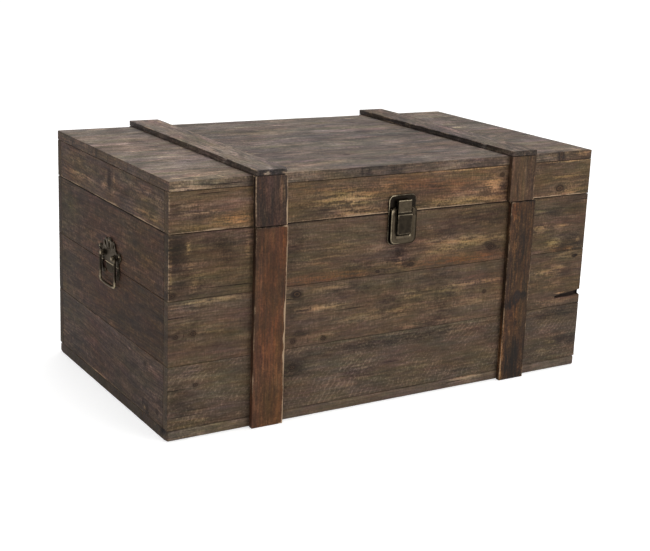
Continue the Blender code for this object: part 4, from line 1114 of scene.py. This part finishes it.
screws = {"face": 241.2, "seam": 318.3, "left": -237.35, "right": 244.0, "radius": 3.3, "height": 0.9,
          "slot": 0.75, "rows": [(29.0, -9.5), (29.0, 9.5), (16.0, 0.0)]}  # away from the seam, and aside
baseNails = {"places": [(-16.5, -232.3, 290.0), (20.5, -232.3, 290.0)], "radius": 1.8, "height": 0.8}
for k, side in enumerate(("left", "right")):
    for j, (part, sign) in enumerate((("trunk_body", -1), ("lid", 1))):
        places = [(screws[side] + aside, screws["face"], screws["seam"] + sign * far)
                  for far, aside in screws["rows"]]
        fasteners(f"hinge_{side}_{part}_screws", part, places, (0, 1, 0), screws["radius"], screws["height"],
                  screws["slot"], 10 + 2 * k + j)
    sign = -1 if side == "left" else 1
    middleU, middleV = handle["middle"]
    face = sign * (handle["wall"] + handle["plateThick"])
    places = [(face, middleU + u, middleV + v) for u, v in handle["nails"]]
    fasteners(f"handle_{side}_nails", "trunk_body", places, (sign, 0, 0), handle["nailRadius"],
              handle["nailHeight"], 0, 20 + k)
fasteners("latch_base_nails", "trunk_body", baseNails["places"], outward, baseNails["radius"],
          baseNails["height"], 0, 30)
print("screws and nails")

cameraLook = {"place": (-1.128663, -1.850376, 0.764835), "lens": 70.345, "sensor": 36, "shiftX": -0.05745,
              "shiftY": -0.05504, "right": (0.842362, -0.537076, 0.044446),
              "down": (-0.094522, -0.228436, -0.968959), "ahead": (0.530558, 0.812013, -0.243192), "far": 200}
eye = bpy.data.cameras.new("camera")
eye.lens = cameraLook["lens"]
eye.sensor_fit = "HORIZONTAL"
eye.sensor_width = cameraLook["sensor"]
eye.shift_x, eye.shift_y = cameraLook["shiftX"], cameraLook["shiftY"]
eye.clip_end = cameraLook["far"]
camera = intoScene("camera", eye)
axes = Matrix((Vector(cameraLook["right"]), -Vector(cameraLook["down"]), -Vector(cameraLook["ahead"])))
axes = axes.transposed()
camera.matrix_world = Matrix.Translation(cameraLook["place"]) @ axes.to_4x4()
bpy.context.scene.camera = camera

floorLook = {"reach": 80.0, "sink": 0.3 * mm, "grey": 0.62, "roughness": 0.9, "specular": 0.1,
             "glowFrom": 0.7, "glowTo": 3.0, "nearGlow": 0.62, "farGlow": 0.78}
floorMesh = bpy.data.meshes.new("floor")
reach = floorLook["reach"]
corners = [(-reach, -reach, 0), (reach, -reach, 0), (reach, reach, 0), (-reach, reach, 0)]
floorMesh.from_pydata(corners, [], [(0, 1, 2, 3)])
floor = intoScene("floor", floorMesh)
floor.location.z = -floorLook["sink"]
floorMaterial, f, shader = newMaterial("paleFloor")
f.plug(shader["Base Color"], (floorLook["grey"],) * 3)
f.plug(shader["Roughness"], floorLook["roughness"])
f.plug(shader["Specular IOR Level"], floorLook["specular"])
f.plug(shader["Emission Color"], (1, 1, 1))
path = f.add("LightPath").outputs
seen = f.calc("MAXIMUM", path["Is Glossy Ray"], path["Is Transmission Ray"])
seen = f.calc("MAXIMUM", path["Is Camera Ray"], seen)
far = f.vector("LENGTH", f.add("TexCoord").outputs["Object"])
glow = f.grade(far, floorLook["glowFrom"], floorLook["glowTo"], floorLook["nearGlow"], floorLook["farGlow"])
f.plug(shader["Emission Strength"], f.times(seen, glow))
floorMesh.materials.append(floorMaterial)

# a white world: dimmer as a light than it looks to the camera
worldLook = {"light": 0.42, "seen": 1.0}
world = bpy.data.worlds.new("studio")
bpy.context.scene.world = world
world.use_nodes = True
w = Bench(world.node_tree)
sky = world.node_tree.nodes["Background"].inputs
path = w.add("LightPath").outputs
seen = w.calc("MAXIMUM", path["Is Camera Ray"], path["Is Transmission Ray"])
w.plug(sky["Strength"], w.grade(seen, 0.0, 1.0, worldLook["light"], worldLook["seen"], False))
w.plug(sky["Color"], (1, 1, 1))

lamps = {
    "above": {"place": (0.3, 0.2, 2.6), "aim": (0, 0, 0.2), "size": 2.4, "power": 62},
    "front": {"place": (1.3, -2.6, 1.5), "aim": (0, -0.1, 0.2), "size": 1.8, "power": 34},
    "side": {"place": (-2.6, -0.6, 1.2), "aim": (-0.2, 0, 0.2), "size": 1.6, "power": 7},
}
for name, lamp in lamps.items():
    data = bpy.data.lights.new(name, "AREA")
    data.shape = "SQUARE"
    data.size = lamp["size"]
    data.energy = lamp["power"]
    light = intoScene(name, data)
    light.location = lamp["place"]
    light.rotation_euler = (Vector(lamp["aim"]) - light.location).to_track_quat("-Z", "Y").to_euler()
bpy.context.scene.view_settings.view_transform = "Standard"
print("camera, floor and light")
